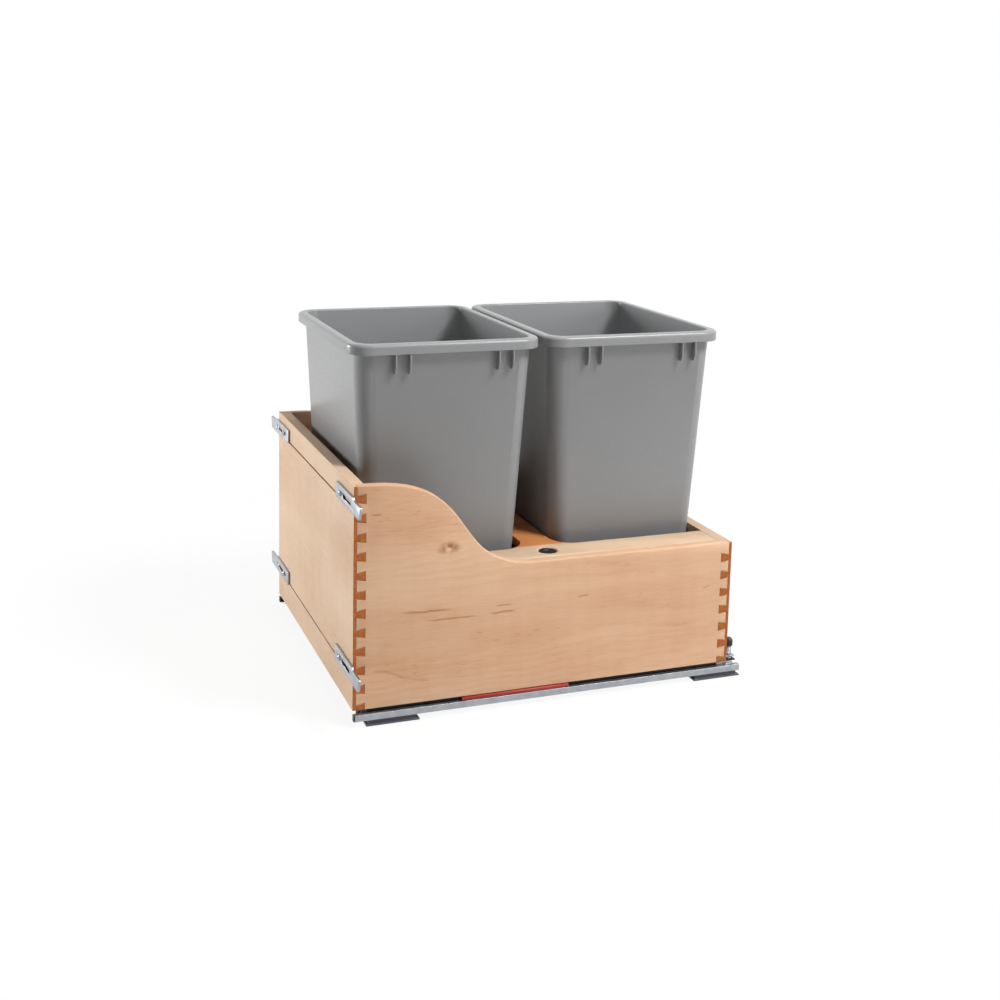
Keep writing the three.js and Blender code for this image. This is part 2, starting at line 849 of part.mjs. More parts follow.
function drawerMember() {
  const channel = extrudeY(foldedShape([
    [runnerInner + hookReach, runnerHookUnderside],
    [runnerInner, runnerHookUnderside],
    [runnerInner, runnerTop],
    [runnerOuter, runnerTop],
    [runnerOuter, runnerHookUnderside],
    [runnerOuter - hookReach, runnerHookUnderside],
  ], sheet), [runnerFront, runnerRear]);
  const ledge = extrudeY(foldedShape([
    [runnerOuter - sheet / 2, ledgeTop],
    [ledgeOuter, ledgeTop],
    [ledgeOuter, ledgeTop - sheet - ledgeDrop],
  ], sheet), [runnerFront, ledgeDropEnd]);
  const tongue = block(
    [runnerOuter - sheet, ledgeOuter],
    [ledgeDropEnd - 1, tongueEnd],
    [ledgeUnderside, ledgeTop],
  );
  return join(channel, ledge, tongue);
}

// A cage with rollers across it, between two walls.
function rollerCarriage([x0, x1], front, axis) {
  const cage = block(
    [x0, x1],
    [front, front + carriageLength],
    [axis - cageHeight / 2, axis + cageHeight / 2],
  );
  const pitch = carriageLength / rollerCount;
  const windows = [];
  const rollers = [];
  for (let index = 0; index < rollerCount; index += 1) {
    const y = front + pitch * (index + 0.5);
    const reach = rollerRadius + slip;
    windows.push(block(
      [x0 + cageRail, x1 - cageRail],
      [y - reach, y + reach],
      [axis - cageHeight, axis + cageHeight],
    ));
    const roller = rod(rollerRadius, [x0 + cageRail + slip, x1 - cageRail - slip], 12);
    const pin = rod(rollerPin, [x0 + cageRail / 2, x1 - cageRail / 2], 6);
    rollers.push(...[roller, pin].map((round) => round.rotateY(Math.PI / 2).translate(0, y, axis)));
  }
  return join(cut(cage, ...windows), ...rollers);
}

function lowerCarriage() {
  const across = [legInner + sheet + slip, legOuter - sheet - slip];
  return rollerCarriage(across, lowerCarriageFront, lowerAxis);
}

function upperCarriage() {
  const across = [runnerInner + sheet + slip, runnerOuter - sheet - slip];
  return rollerCarriage(across, upperCarriageFront, upperAxis);
}

// The nose under the front board, with a spigot in the drawer member's channel.
function frontCap() {
  const capInner = runnerInner + capInset;
  const capOuter = ledgeOuter + capBeyond;
  const capFront = board - capReach;
  const back = runnerFront - seat;
  const nose = roundedShape([
    [capInner, capFront, 3],
    [capOuter, capFront, 3],
    [capOuter, back],
    [capInner, back],
  ]);
  const top = -seat;
  const web = [capInner + 1, runnerOuter - sheet - slip];
  const riserTop = runnerTop - sheet - slip;
  return join(
    extrudeZ(nose, [top - capHeight, top]),
    block(web, [board + seat, back], [top - 1, riserTop]),
    block(web, [back - 1, back + capSpigot], [midTop + slip * 2, riserTop]),
  );
}

function rearGuide() {
  const top = ledgeUnderside - seat;
  const guideInner = ledgeOuter - guideWidth;
  const outline = roundedShape([
    [guideInner, top - guideHeight, 1.5],
    [ledgeOuter, top - guideHeight, 1.5],
    [ledgeOuter, top],
    [guideInner, top],
  ]);
  return extrudeY(outline, [ledgeDropEnd + seat, runnerRear]);
}

function damper() {
  const base = shelfTop + seat;
  const damperInner = ledgeOuter + damperGap;
  const outline = roundedShape([
    [damperInner, base],
    [damperInner + damperWidth, base],
    [damperInner + damperWidth, base + damperHeight, 2],
    [damperInner, base + damperHeight, 1],
  ]);
  return extrudeY(outline, [damperFront, damperFront + damperLength], 4);
}

// The cap on the front end of the cabinet member's shelf.
function shelfTip() {
  const inner = shelfOuter - shelfReturn;
  const back = cabinetFront - seat;
  return join(
    block([inner, shelfOuter], [back - tipThickness, back], [cabinetUnderside, shelfTop]),
    block(
      [inner + seat, shelfOuter - sheet - seat],
      [back - tipThickness / 2, cabinetFront + tipPlug],
      [cabinetFloor + seat, shelfTop - sheet - seat],
    ),
  );
}

function rivetPlaces() {
  return [railFrontStart + railWidth / 2, railRearStart + railWidth / 2];
}

function rivet() {
  const under = cabinetFloor + seat;
  return turned([
    [0, railTop - railSkin],
    [rivetRadius, railTop - railSkin],
    [rivetRadius, under],
    [rivetHeadRadius, under],
    [rivetHeadRadius * 0.6, under + rivetHeadHeight],
    [0, under + rivetHeadHeight],
  ], 12);
}

// ---- Cross rails ----

function crossRail(front) {
  const back = front + railWidth;
  const floor = railTop - railHeight;
  const footTop = floor + railFootHeight;
  const middle = (front + back) / 2;
  const foot = block([-railHalfLength, railHalfLength], [front, back], [floor, footTop]);
  const upperHalf = railHalfLength - railFoot;
  const upper = block([-upperHalf, upperHalf], [front + railFoot, back - railFoot], [footTop - 0.5, railTop]);
  const bay = (upperHalf * 2 - railSkin * 2 + railRib) / railBays;
  const pockets = [];
  const bosses = [];
  const holes = [];
  for (let index = 0; index < railBays; index += 1) {
    const x0 = -upperHalf + railSkin + bay * index;
    const xs = [x0, x0 + bay - railRib];
    const levels = [floor - 1, railTop - railSkin];
    pockets.push(block(xs, [front + railFoot + railSkin, middle - railRib / 2], levels));
    pockets.push(block(xs, [middle + railRib / 2, back - railFoot - railSkin], levels));
  }
  for (let index = 2; index < railBays; index += 2) {
    const x = -upperHalf + railSkin + bay * index - railRib / 2;
    bosses.push(rod(railBossRadius, [floor, railTop - 0.5], 12).translate(x, middle, 0));
    holes.push(rod(railHoleRadius, [floor - 1, railTop + 1], 12).translate(x, middle, 0));
  }
  const rivetSeats = [1, -1].map((side) => (
    rod(rivetRadius + seat, [railTop - railSkin - seat, railTop + 1], 12).translate(side * rivetX, middle, 0)
  ));
  return cut(join(cut(join(foot, upper), ...pockets), ...bosses), ...holes, ...rivetSeats);
}

// ---- Front locking devices (right-hand ones) ----

const leverX = runnerInner - leverPivotFromRunner;
const leverTop = lockUnderside - seat;
const leverUnderside = leverTop - leverThickness;

function lockBody() {
  const outer = runnerInner - seat;
  const front = board + seat;
  const outline = roundedShape([
    [outer - lockWidth, front, 3],
    [outer, front, 1],
    [outer, front + lockLength, 1],
    [outer - lockWidth, front + lockLength, lockRearCorner],
  ]);
  const housing = extrudeZ(outline, [lockUnderside, floorUnderside - seat]);
  const bore = rod(lockPinRadius + seat, [lockUnderside - 1, leverUnderside + lockPinLength + 1]);
  return cut(housing, bore.translate(leverX, leverPivotFromFront, 0));
}

function lockLever() {
  const hub = rod(leverHub, [leverUnderside, leverTop], 24).translate(leverX, leverPivotFromFront, 0);
  const paddleBack = leverPaddleFront + leverPaddleDepth;
  const paddle = extrudeZ(roundedShape([
    [leverX - leverPaddleHalf, leverPaddleFront, leverPaddleCorner],
    [leverX + leverPaddleHalf, leverPaddleFront, leverPaddleCorner],
    [leverX + leverPaddleHalf, paddleBack, 3],
    [leverX - leverPaddleHalf, paddleBack, 3],
  ]), [leverUnderside, leverTop]);
  const arm = block(
    [leverX - leverArmHalf, leverX + leverArmHalf],
    [paddleBack - 1, leverPivotFromFront],
    [leverUnderside, leverTop],
  );
  const bore = rod(lockPinRadius + seat, [leverUnderside - 1, leverTop + 1]);
  return cut(join(hub, paddle, arm), bore.translate(leverX, leverPivotFromFront, 0));
}

function lockPin() {
  const head = leverUnderside - seat;
  return turned([
    [0, head - lockPinHeadHeight],
    [lockPinHead * 0.7, head - lockPinHeadHeight],
    [lockPinHead, head - lockPinHeadHeight * 0.6],
    [lockPinHead, head],
    [lockPinRadius, head],
    [lockPinRadius, leverUnderside + lockPinLength],
    [0, leverUnderside + lockPinLength],
  ]).translate(leverX, leverPivotFromFront, 0);
}

// ---- Rear tilt adjusters (right-hand ones) ----

function adjusterBracket() {
  const wall = boxDepth + seat;
  const angle = extrudeX(foldedShape([
    [wall, earWallTop],
    [wall, earUnderside],
    [wall + earDepth, earUnderside],
  ], -earSheet), [adjusterX - earHalfWidth, adjusterX + earHalfWidth]);
  const bore = rod(studRadius + slip, [earTop - earSheet - 1, earTop + 1]);
  return cut(angle, bore.translate(adjusterX, adjusterY, 0));
}

function adjusterStud() {
  const base = ledgeTop + seat;
  const hex = rod(studHexRadius, [base, base + studHexHeight], 6);
  const thread = rod(studRadius, [base + studHexHeight - 0.5, studTop], 16);
  return join(hex, thread).translate(adjusterX, adjusterY, 0);
}

function tiltKnob() {
  const base = earTop + seat;
  const gripBase = base + knobCollarHeight;
  const body = turned([
    [0, base],
    [knobCollarRadius, base],
    [knobCollarRadius, gripBase],
    [knobRadius, gripBase],
    [knobRadius, base + knobHeight * 0.65],
    [knobRadius * 0.94, base + knobHeight * 0.8],
    [knobRadius * 0.74, base + knobHeight * 0.92],
    [knobRadius * 0.4, base + knobHeight * 0.98],
    [0, base + knobHeight],
  ], 24);
  const bore = rod(studRadius + seat, [base - 1, studTop + seat]);
  const grips = [];
  for (let index = 0; index < knobGrips; index += 1) {
    const angle = (index + 0.5) * Math.PI * 2 / knobGrips;
    const grip = rod(knobGripRadius, [gripBase - 1, base + knobHeight * 0.7], 6);
    grips.push(grip.translate((knobRadius + 0.4) * Math.cos(angle), (knobRadius + 0.4) * Math.sin(angle), 0));
  }
  return cut(body, bore, ...grips).translate(adjusterX, adjusterY, 0);
}

// ---- Everything in its place ----

place('front_board', frontBoard(), maple);
place('back_board', backBoard(), maple);
placePair('side_board', sideBoard(), maple);
place('floor_panel', floorPanel(), birchPly);
place('deck_panel', deckPanel(), maple);
placePair('deck_cleat', deckCleat(), maple);
place('deck_plug', deckPlug(), blackPlastic);

const binGeometry = bin();
place('front_bin', binGeometry, greyPlastic).position.set(0, frontBinY, binBase);
place('rear_bin', binGeometry, greyPlastic).position.set(0, rearBinY, binBase);

const bracketGeometry = doorBracket();
const screwGeometry = bracketScrew();
for (const { name, side, level } of bracketPlaces()) {
  const bracket = place(`door_bracket_${name}`, bracketGeometry, zincPlate);
  bracket.position.set(side * bracketInner, 0, level);
  bracket.scale.x = side;
  const screw = place(`bracket_screw_${name}`, screwGeometry, zincPlate);
  const screwX = side * (bracketInner + bracketScrewAt);
  screw.position.set(screwX, -seat * 2 - bracketDepth, level + bracketHeight / 2);
}

placePair('cabinet_member', cabinetMember(), zincPlate);
placePair('intermediate_member', intermediateMember(), zincPlate);
placePair('drawer_member', drawerMember(), blackSteel);
placePair('lower_carriage', lowerCarriage(), whiteNylon);
placePair('upper_carriage', upperCarriage(), whiteNylon);
placePair('front_cap', frontCap(), blackPlastic);
placePair('rear_guide', rearGuide(), whiteNylon);
placePair('damper', damper(), redPlastic);
placePair('shelf_tip', shelfTip(), blackPlastic);
place('front_cross_rail', crossRail(railFrontStart), slatePlastic);
place('rear_cross_rail', crossRail(railRearStart), slatePlastic);
for (const [index, y] of rivetPlaces().entries()) {
  const geometry = rivet().translate(rivetX, y, 0);
  placePair(index === 0 ? 'front_rivet' : 'rear_rivet', geometry, zincPlate);
}

placePair('lock_body', lockBody(), slatePlastic);
placePair('lock_lever', lockLever(), slatePlastic);
placePair('lock_pin', lockPin(), zincPlate);
placePair('adjuster_bracket', adjusterBracket(), zincPlate);
placePair('adjuster_stud', adjusterStud(), zincPlate);
placePair('tilt_knob', tiltKnob(), blackPlastic);

// Stand the cabinet on z = 0 with the middle of its outer size over the origin.
const bounds = new THREE.Box3().setFromObject(assembly);
assembly.position.set(0, -(bounds.min.y + bounds.max.y) / 2, -bounds.min.z);

const root = new THREE.Group();
root.add(assembly);

export default root;
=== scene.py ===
"""Finishes and fine shapes of the pull-out waste cabinet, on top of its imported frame.

Metres, +Z up, -Y is the front with the door brackets. Boards, sheet metal and mouldings keep
their frame solids and get softened edges and a finish. The bins, the deck's plug, the tilt knobs
and their threaded studs are modelled again here, finer than the frame holds them.
"""

import math

import bmesh
import bpy
from bpy.props import FloatProperty, FloatVectorProperty, IntProperty, PointerProperty
from mathutils import Matrix, Vector


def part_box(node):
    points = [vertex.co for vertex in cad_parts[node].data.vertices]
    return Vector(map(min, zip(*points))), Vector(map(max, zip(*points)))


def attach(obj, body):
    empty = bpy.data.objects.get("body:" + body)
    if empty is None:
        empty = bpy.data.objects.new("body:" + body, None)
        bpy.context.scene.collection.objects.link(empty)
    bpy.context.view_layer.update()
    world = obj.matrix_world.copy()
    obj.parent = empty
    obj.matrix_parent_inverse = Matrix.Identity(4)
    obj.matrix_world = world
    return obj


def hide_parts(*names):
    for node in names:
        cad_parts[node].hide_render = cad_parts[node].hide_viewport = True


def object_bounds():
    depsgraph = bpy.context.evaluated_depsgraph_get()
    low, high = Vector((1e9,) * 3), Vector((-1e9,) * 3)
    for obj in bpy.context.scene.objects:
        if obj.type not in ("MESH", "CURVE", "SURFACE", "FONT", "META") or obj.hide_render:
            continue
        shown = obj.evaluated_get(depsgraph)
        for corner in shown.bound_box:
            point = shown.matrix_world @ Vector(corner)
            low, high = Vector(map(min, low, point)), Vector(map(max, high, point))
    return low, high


bl_info = {
    "name": "Pull-out waste cabinet",
    "version": (1, 0, 0),
    "blender": (4, 5, 0),
    "location": "3D View > Sidebar > Cabinet",
    "description": "Dresses a dovetailed pull-out box, its bins and its slides",
    "category": "Object",
}

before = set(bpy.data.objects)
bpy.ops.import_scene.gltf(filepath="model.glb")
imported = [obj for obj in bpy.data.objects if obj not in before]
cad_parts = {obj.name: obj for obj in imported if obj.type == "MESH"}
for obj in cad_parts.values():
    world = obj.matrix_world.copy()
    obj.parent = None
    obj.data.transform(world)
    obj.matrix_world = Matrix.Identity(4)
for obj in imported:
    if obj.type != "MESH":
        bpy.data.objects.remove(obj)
frame_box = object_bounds()

SIDES = ("left", "right")
CORNERS = ("lower_left", "lower_right", "upper_left", "upper_right")

# Noises of the maple: scale along the fibres, scale across them, detail and roughness.
GRAIN_NOISES = {
    "sway": (1.6, 4.0, 3.0, 0.55),
    "broad": (3.0, 11.0, 3.0, 0.55),
    "fibre": (28.0, 620.0, 3.0, 0.6),
    "curl": (45.0, 9.0, 1.0, 0.5),
    "pore": (55.0, 640.0, 1.0, 0.5),
    "ring_contrast": (4.0, 14.0, 1.0, 0.5),
    "crown": (150.0, 60.0, 2.0, 0.5),
    "speckle": (260.0, 260.0, 3.0, 0.5),
}
# The tree's heart: above a board's lower edge, behind its face, and how far it wanders.
HEART_HEIGHT = 0.11
HEART_BEHIND = 0.075
HEART_SWAY = 0.16
# How much each noise adds to the wood's tone, from early wood at 0 to late wood at 1.
BASE_TONE = 0.10
BROAD_TONE = 0.62
RING_TONES = (0.02, 0.17)
FIBRE_TONE = 0.24
CURL_TONE = 0.12
FLECK_TONE = 0.38

# Marks of the right-hand side board: along the grain, height, half length, half width, rise, strength.
# Places are measured from the front face of the box and the board's lower edge.
SIDE_MARKS = (
    (0.1005, 0.1242, 0.040, 0.0011, -0.045, 0.62),
    (0.1350, 0.1108, 0.041, 0.0010, 0.002, 0.60),
    (0.2064, 0.1113, 0.021, 0.0011, -0.003, 0.60),
    (0.2075, 0.1212, 0.014, 0.0009, -0.020, 0.52),
    (0.3230, 0.1224, 0.010, 0.0009, 0.060, 0.50),
    (0.5140, 0.1154, 0.007, 0.0008, 0.300, 0.50),
    (0.0295, 0.2602, 0.008, 0.0009, -0.030, 0.55),
    (0.0410, 0.0485, 0.017, 0.0014, -0.250, 0.24),
    (0.0615, 0.0405, 0.011, 0.0015, -0.560, 0.24),
    (0.0860, 0.0330, 0.021, 0.0014, -0.190, 0.20),
)
SIDE_KNOT = (0.1284, 0.2050)
# The knot is wider along the grain, and the growth rings rise round it.
KNOT_STRETCH = 1.5
KNOT_PULL = 0.012
KNOT_REACH = 0.022
# Painted shade: the deck's middle band, where it lies between the bins, is painted a warm orange-brown for
# the shade there. The band ends at this distance from the middle plane.
DECK_SHADE_HALF = 0.1635
# Half width of the soft edge of the painted shade band.
SHADE_EDGE_HALF = 0.0004

# Outline of a tilt knob's head: in from its outer radius, up from its underside.
KNOB_OUTLINE = (
    (0.0016, 0.0),
    (0.0004, 0.0003),
    (0.0, 0.0009),
    (0.0, 0.0066),
    (0.0003, 0.0086),
    (0.0012, 0.0106),
    (0.0029, 0.0120),
    (0.0050, 0.0125),
)

# Lamps: name, width and place. Their powers are among the studio's settings.
LAMPS = (
    ("key", 0.9, (-1.9, -2.6, 0.7)),
    ("side", 1.0, (1.6, 1.4, 2.9)),
    ("low", 1.2, (2.4, 1.8, 1.0)),
    ("top", 0.8, (0.0, 0.0, 3.2)),
)
# Facets that meet within the first angle are one face, and edges from the second angle on are rounded.
FLAT_WITHIN = math.radians(0.6)
ROUNDED_FROM = math.radians(32)
SAME_POINT = 1e-6
# Modelled pieces are shaded smooth up to this angle.
CREASE = math.radians(40)
STUD_CREASE = math.radians(28)

FLOOR_HALF = 12.0
FLOOR_DROP = 0.0004
WHITE = (1.0, 1.0, 1.0)


def screen_colour(red, green, blue):
    """A colour read off a screen, 0 to 255, as linear light."""
    def linear(level):
        level /= 255
        return level / 12.92 if level <= 0.04045 else ((level + 0.055) / 1.055) ** 2.4
    return tuple(linear(level) for level in (red, green, blue))


def colour_prop(name, description, red, green, blue):
    return FloatVectorProperty(
        name=name,
        description=description,
        subtype="COLOR",
        size=3,
        min=0.0,
        max=1.0,
        default=screen_colour(red, green, blue),
    )


def length_prop(name, description, default):
    return FloatProperty(
        name=name,
        description=description,
        default=default,
        min=0.0,
        unit="LENGTH",
        precision=4,
    )


def angle_prop(name, description, degrees):
    return FloatProperty(name=name, description=description, default=math.radians(degrees), subtype="ANGLE")


def number_prop(name, description, default):
    return FloatProperty(name=name, description=description, default=default)


# ---- Sizes and colours ----


class CABINET_PG_wood(bpy.types.PropertyGroup):
    """Maple boards and the plywood floor"""

    light: colour_prop("Light maple", "Early wood of the sides", 226, 188, 155)
    dark: colour_prop("Dark maple", "Late wood of the sides", 206, 157, 120)
    # Painted sheen: paler, greyer copies of the sides' maple, standing in for the sheen on the front, the
    # back and the deck.
    painted_sheen_light: colour_prop("Maple with painted sheen", "Early wood with painted sheen, for the front, the back and the deck", 219, 192, 164)
    painted_sheen_dark: colour_prop("Maple with painted sheen, dark", "Late wood with painted sheen, for the front, the back and the deck", 201, 167, 135)
    end_grain: colour_prop("End grain", "Cut ends of the boards, as the dovetail pins show", 172, 98, 46)
    # Painted shade: an orange-brown copy of the maple for the deck's shade between the bins.
    painted_shade_light: colour_prop("Painted deck shade", "Painted shade on the deck between the bins", 214, 146, 92)
    painted_shade_dark: colour_prop("Painted deck shade, dark", "Painted shade on the deck between the bins, darker", 190, 116, 66)
    mark: colour_prop("Mineral streak", "Thin dark marks in the grain", 160, 98, 58)
    plywood: colour_prop("Floor panel", "Face of the plywood floor", 214, 184, 150)
    ring_spacing: length_prop("Ring spacing", "Distance between growth rings", 0.0075)
    softening: length_prop("Edge softening", "Sanded radius of the boards' edges", 0.0006)


class CABINET_PG_bins(bpy.types.PropertyGroup):
    """The two waste bins"""

    colour: colour_prop("Bin colour", "Moulded grey plastic", 145, 146, 147)
    rim_radius: length_prop("Rim corner", "Outer corner radius of the rim", 0.030)
    skirt_height: length_prop("Skirt height", "Height of the band round the rim", 0.0146)
    skirt_wall: length_prop("Skirt wall", "Thickness of the band", 0.0025)
    overhang: length_prop("Overhang", "How far the rim stands out from the wall", 0.010)
    crown: length_prop("Crown", "Rounding on top of the rim", 0.005)
    wall: length_prop("Wall", "Thickness of the wall", 0.003)
    draft: length_prop("Draft", "How much each half width shrinks towards the base", 0.021)
    corner_shrink: length_prop("Corner shrink", "How much the corner tightens towards the base", 0.002)
    foot: length_prop("Foot rounding", "Rounding between wall and base", 0.004)
    base_recess: length_prop("Base recess", "Depth of the hollow under the base", 0.002)
    base_band: length_prop("Base band", "Width of the band that the bin stands on", 0.012)
    rib_thickness: length_prop("Rib thickness", "Thickness of the ribs under the rim", 0.0025)
    rib_drop: length_prop("Rib drop", "How far a rib runs down below the skirt", 0.027)
    rib_inner: length_prop("Inner ribs", "From the middle of each side's ribs to its inner two", 0.06245)
    rib_outer: length_prop("Outer ribs", "From the middle of each side's ribs to its outer two", 0.08255)
    rib_set_back: length_prop("Ribs set back", "How far the ribs' middle sits behind the bin's", 0.008)
    corner_steps: IntProperty(name="Corner steps", description="Facets in each corner", default=14, min=3)


class CABINET_PG_hardware(bpy.types.PropertyGroup):
    """Slides, brackets and their mouldings"""

    zinc: colour_prop("Zinc plate", "Bright plated sheet", 165, 169, 174)
    black_coat: colour_prop("Black coat", "Coated drawer members", 24, 24, 27)
    black_moulding: colour_prop("Black moulding", "Knobs, caps and plug", 28, 27, 29)
    slate_moulding: colour_prop("Slate moulding", "Cross rails and locks", 74, 76, 86)
    damper_red: colour_prop("Damper red", "Damper housings", 158, 36, 22)
    nylon: colour_prop("Nylon", "Roller carriages and guides", 226, 225, 220)
    sheet_softening: length_prop("Sheet softening", "Rounded edges of folded sheet", 0.00035)
    moulding_softening: length_prop("Moulding softening", "Rounded edges of mouldings", 0.0006)
    thread_pitch: length_prop("Thread pitch", "Of the adjusters' studs", 0.001)
    thread_depth: length_prop("Thread depth", "Of the adjusters' studs", 0.0006)
    stud_radius: length_prop("Stud radius", "Over the thread of the adjusters' studs", 0.003)
    stud_hex_height: length_prop("Stud hexagon", "Height of the studs' hexagon", 0.003)
    knob_radius: length_prop("Knob radius", "Outer radius of a tilt knob's head", 0.0062)
    knob_grips: IntProperty(name="Knob grips", description="Finger grips round a tilt knob", default=8, min=0)
    knob_grip_depth: number_prop("Knob grip depth", "Depth of a grip as a share of the radius", 0.05)
    sleeve_radius: length_prop("Sleeve radius", "Over the thread of the knobs' sleeves", 0.0044)
    sleeve_pitch: length_prop("Sleeve pitch", "Thread pitch of the knobs' sleeves", 0.0018)
    sleeve_depth: length_prop("Sleeve thread depth", "Thread depth of the knobs' sleeves", 0.0007)
    plug_overlap: length_prop("Plug overlap", "How far the plug's head stands out past its body", 0.0012)
    plug_below: length_prop("Plug below deck", "From the deck's face down to the plug's head", 0.0006)
    plug_dish: length_prop("Plug dish", "Radius of the hollow in the plug's head", 0.0068)


class CABINET_PG_studio(bpy.types.PropertyGroup):
    """Camera and light"""

    place: FloatVectorProperty(
        name="Camera",
        description="Place of the lens",
        subtype="TRANSLATION",
        default=(1.83109, -0.71639, 0.78824),
    )
    azimuth: angle_prop("Azimuth", "View turned from straight at the front", 70.041)
    elevation: angle_prop("Elevation", "View tilted down", 8.4535)
    roll: angle_prop("Roll", "Camera turned about its own axis", 1.1284)
    lens: number_prop("Lens", "Focal length in millimetres", 48.708)
    shift_x: number_prop("Shift X", "Framing to the side", 0.03184)
    shift_y: number_prop("Shift Y", "Framing up and down", -0.18436)
    room_light: number_prop("Room light", "Strength of the light from all round", 0.02)
    key_power: number_prop("Key lamp", "Watts of the lamp at the front left", 82.0)
    side_power: number_prop("Side lamp", "Watts of the lamp high at the rear right", 108.0)
    low_power: number_prop("Low lamp", "Watts of the lamp low at the rear right", 12.0)
    top_power: number_prop("Top lamp", "Watts of the lamp overhead", 26.0)
    floor_white: FloatProperty(
        name="Floor white",
        description="How much of the floor's shadow is lifted to white",
        default=0.9,
        min=0.0,
        max=1.0,
        subtype="FACTOR",
    )


SETTINGS = {
    "cabinet_wood": CABINET_PG_wood,
    "cabinet_bins": CABINET_PG_bins,
    "cabinet_hardware": CABINET_PG_hardware,
    "cabinet_studio": CABINET_PG_studio,
}


# ---- Finishes ----


class Nodes:
    """A node tree, written a node at a time."""

    def __init__(self, tree):
        self.tree = tree

    def node(self, kind, inputs=None, **settings):
        made = self.tree.nodes.new(kind)
        for key, value in settings.items():
            setattr(made, key, value)
        for key, value in (inputs or {}).items():
            self.feed(made.inputs[key], value)
        return made

    def feed(self, socket, value):
        if isinstance(value, bpy.types.NodeSocket):
            self.tree.links.new(value, socket)
        else:
            socket.default_value = value

    def sum(self, operation, *values):
        return self.node("ShaderNodeMath", dict(enumerate(values)), operation=operation).outputs[0]

    def seen_directly(self):
        """1 for a ray from the camera, a gloss or a clear surface, and 0 for light that bounces."""
        rays = self.node("ShaderNodeLightPath").outputs
        seen = self.sum("MAXIMUM", rays["Is Camera Ray"], rays["Is Glossy Ray"])
        return self.sum("MAXIMUM", seen, rays["Is Transmission Ray"])


class Finish(Nodes):
    """One finish's material."""

    def __init__(self, name):
        self.material = bpy.data.materials.new(name)
        self.material.use_nodes = True
        super().__init__(self.material.node_tree)
        self.surface = self.tree.nodes["Principled BSDF"]
        self.place = self.node("ShaderNodeTexCoord").outputs["Object"]

    def rise(self, value, low, high, bottom=0.0, top=1.0):
        """Runs smoothly from bottom to top while the value runs from low to high."""
        inputs = {"Value": value, "From Min": low, "From Max": high, "To Min": bottom, "To Max": top}
        return self.node("ShaderNodeMapRange", inputs, interpolation_type="SMOOTHSTEP").outputs["Result"]

    def reach(self, first, second):
        """The length of an arrow from its two parts."""
        squares = [self.sum("POWER", part, 2.0) for part in (first, second)]
        return self.sum("SQRT", self.sum("ADD", *squares))

    def tint(self, factor, first, second):
        made = self.node("ShaderNodeMix", {0: factor}, data_type="RGBA")
        self.feed(made.inputs[6], first)
        self.feed(made.inputs[7], second)
        return made.outputs[2]

    def stretched(self, scale, shift=(0.0, 0.0, 0.0)):
        inputs = {"Vector": self.place, "Scale": scale, "Location": shift}
        return self.node("ShaderNodeMapping", inputs).outputs[0]

    def noise(self, vector, scale=1.0, detail=2.0, roughness=0.5):
        inputs = {"Vector": vector, "Scale": scale, "Detail": detail, "Roughness": roughness}
        return self.node("ShaderNodeTexNoise", inputs).outputs["Fac"]

    def set(self, **sockets):
        for key, value in sockets.items():
            self.feed(self.surface.inputs[key.replace("_", " ")], value)

    def bump(self, height, distance, strength):
        inputs = {"Height": height, "Distance": distance, "Strength": strength}
        self.set(Normal=self.node("ShaderNodeBump", inputs).outputs["Normal"])


def opaque(colour, shade=1.0):
    return (colour[0] * shade, colour[1] * shade, colour[2] * shade, 1.0)


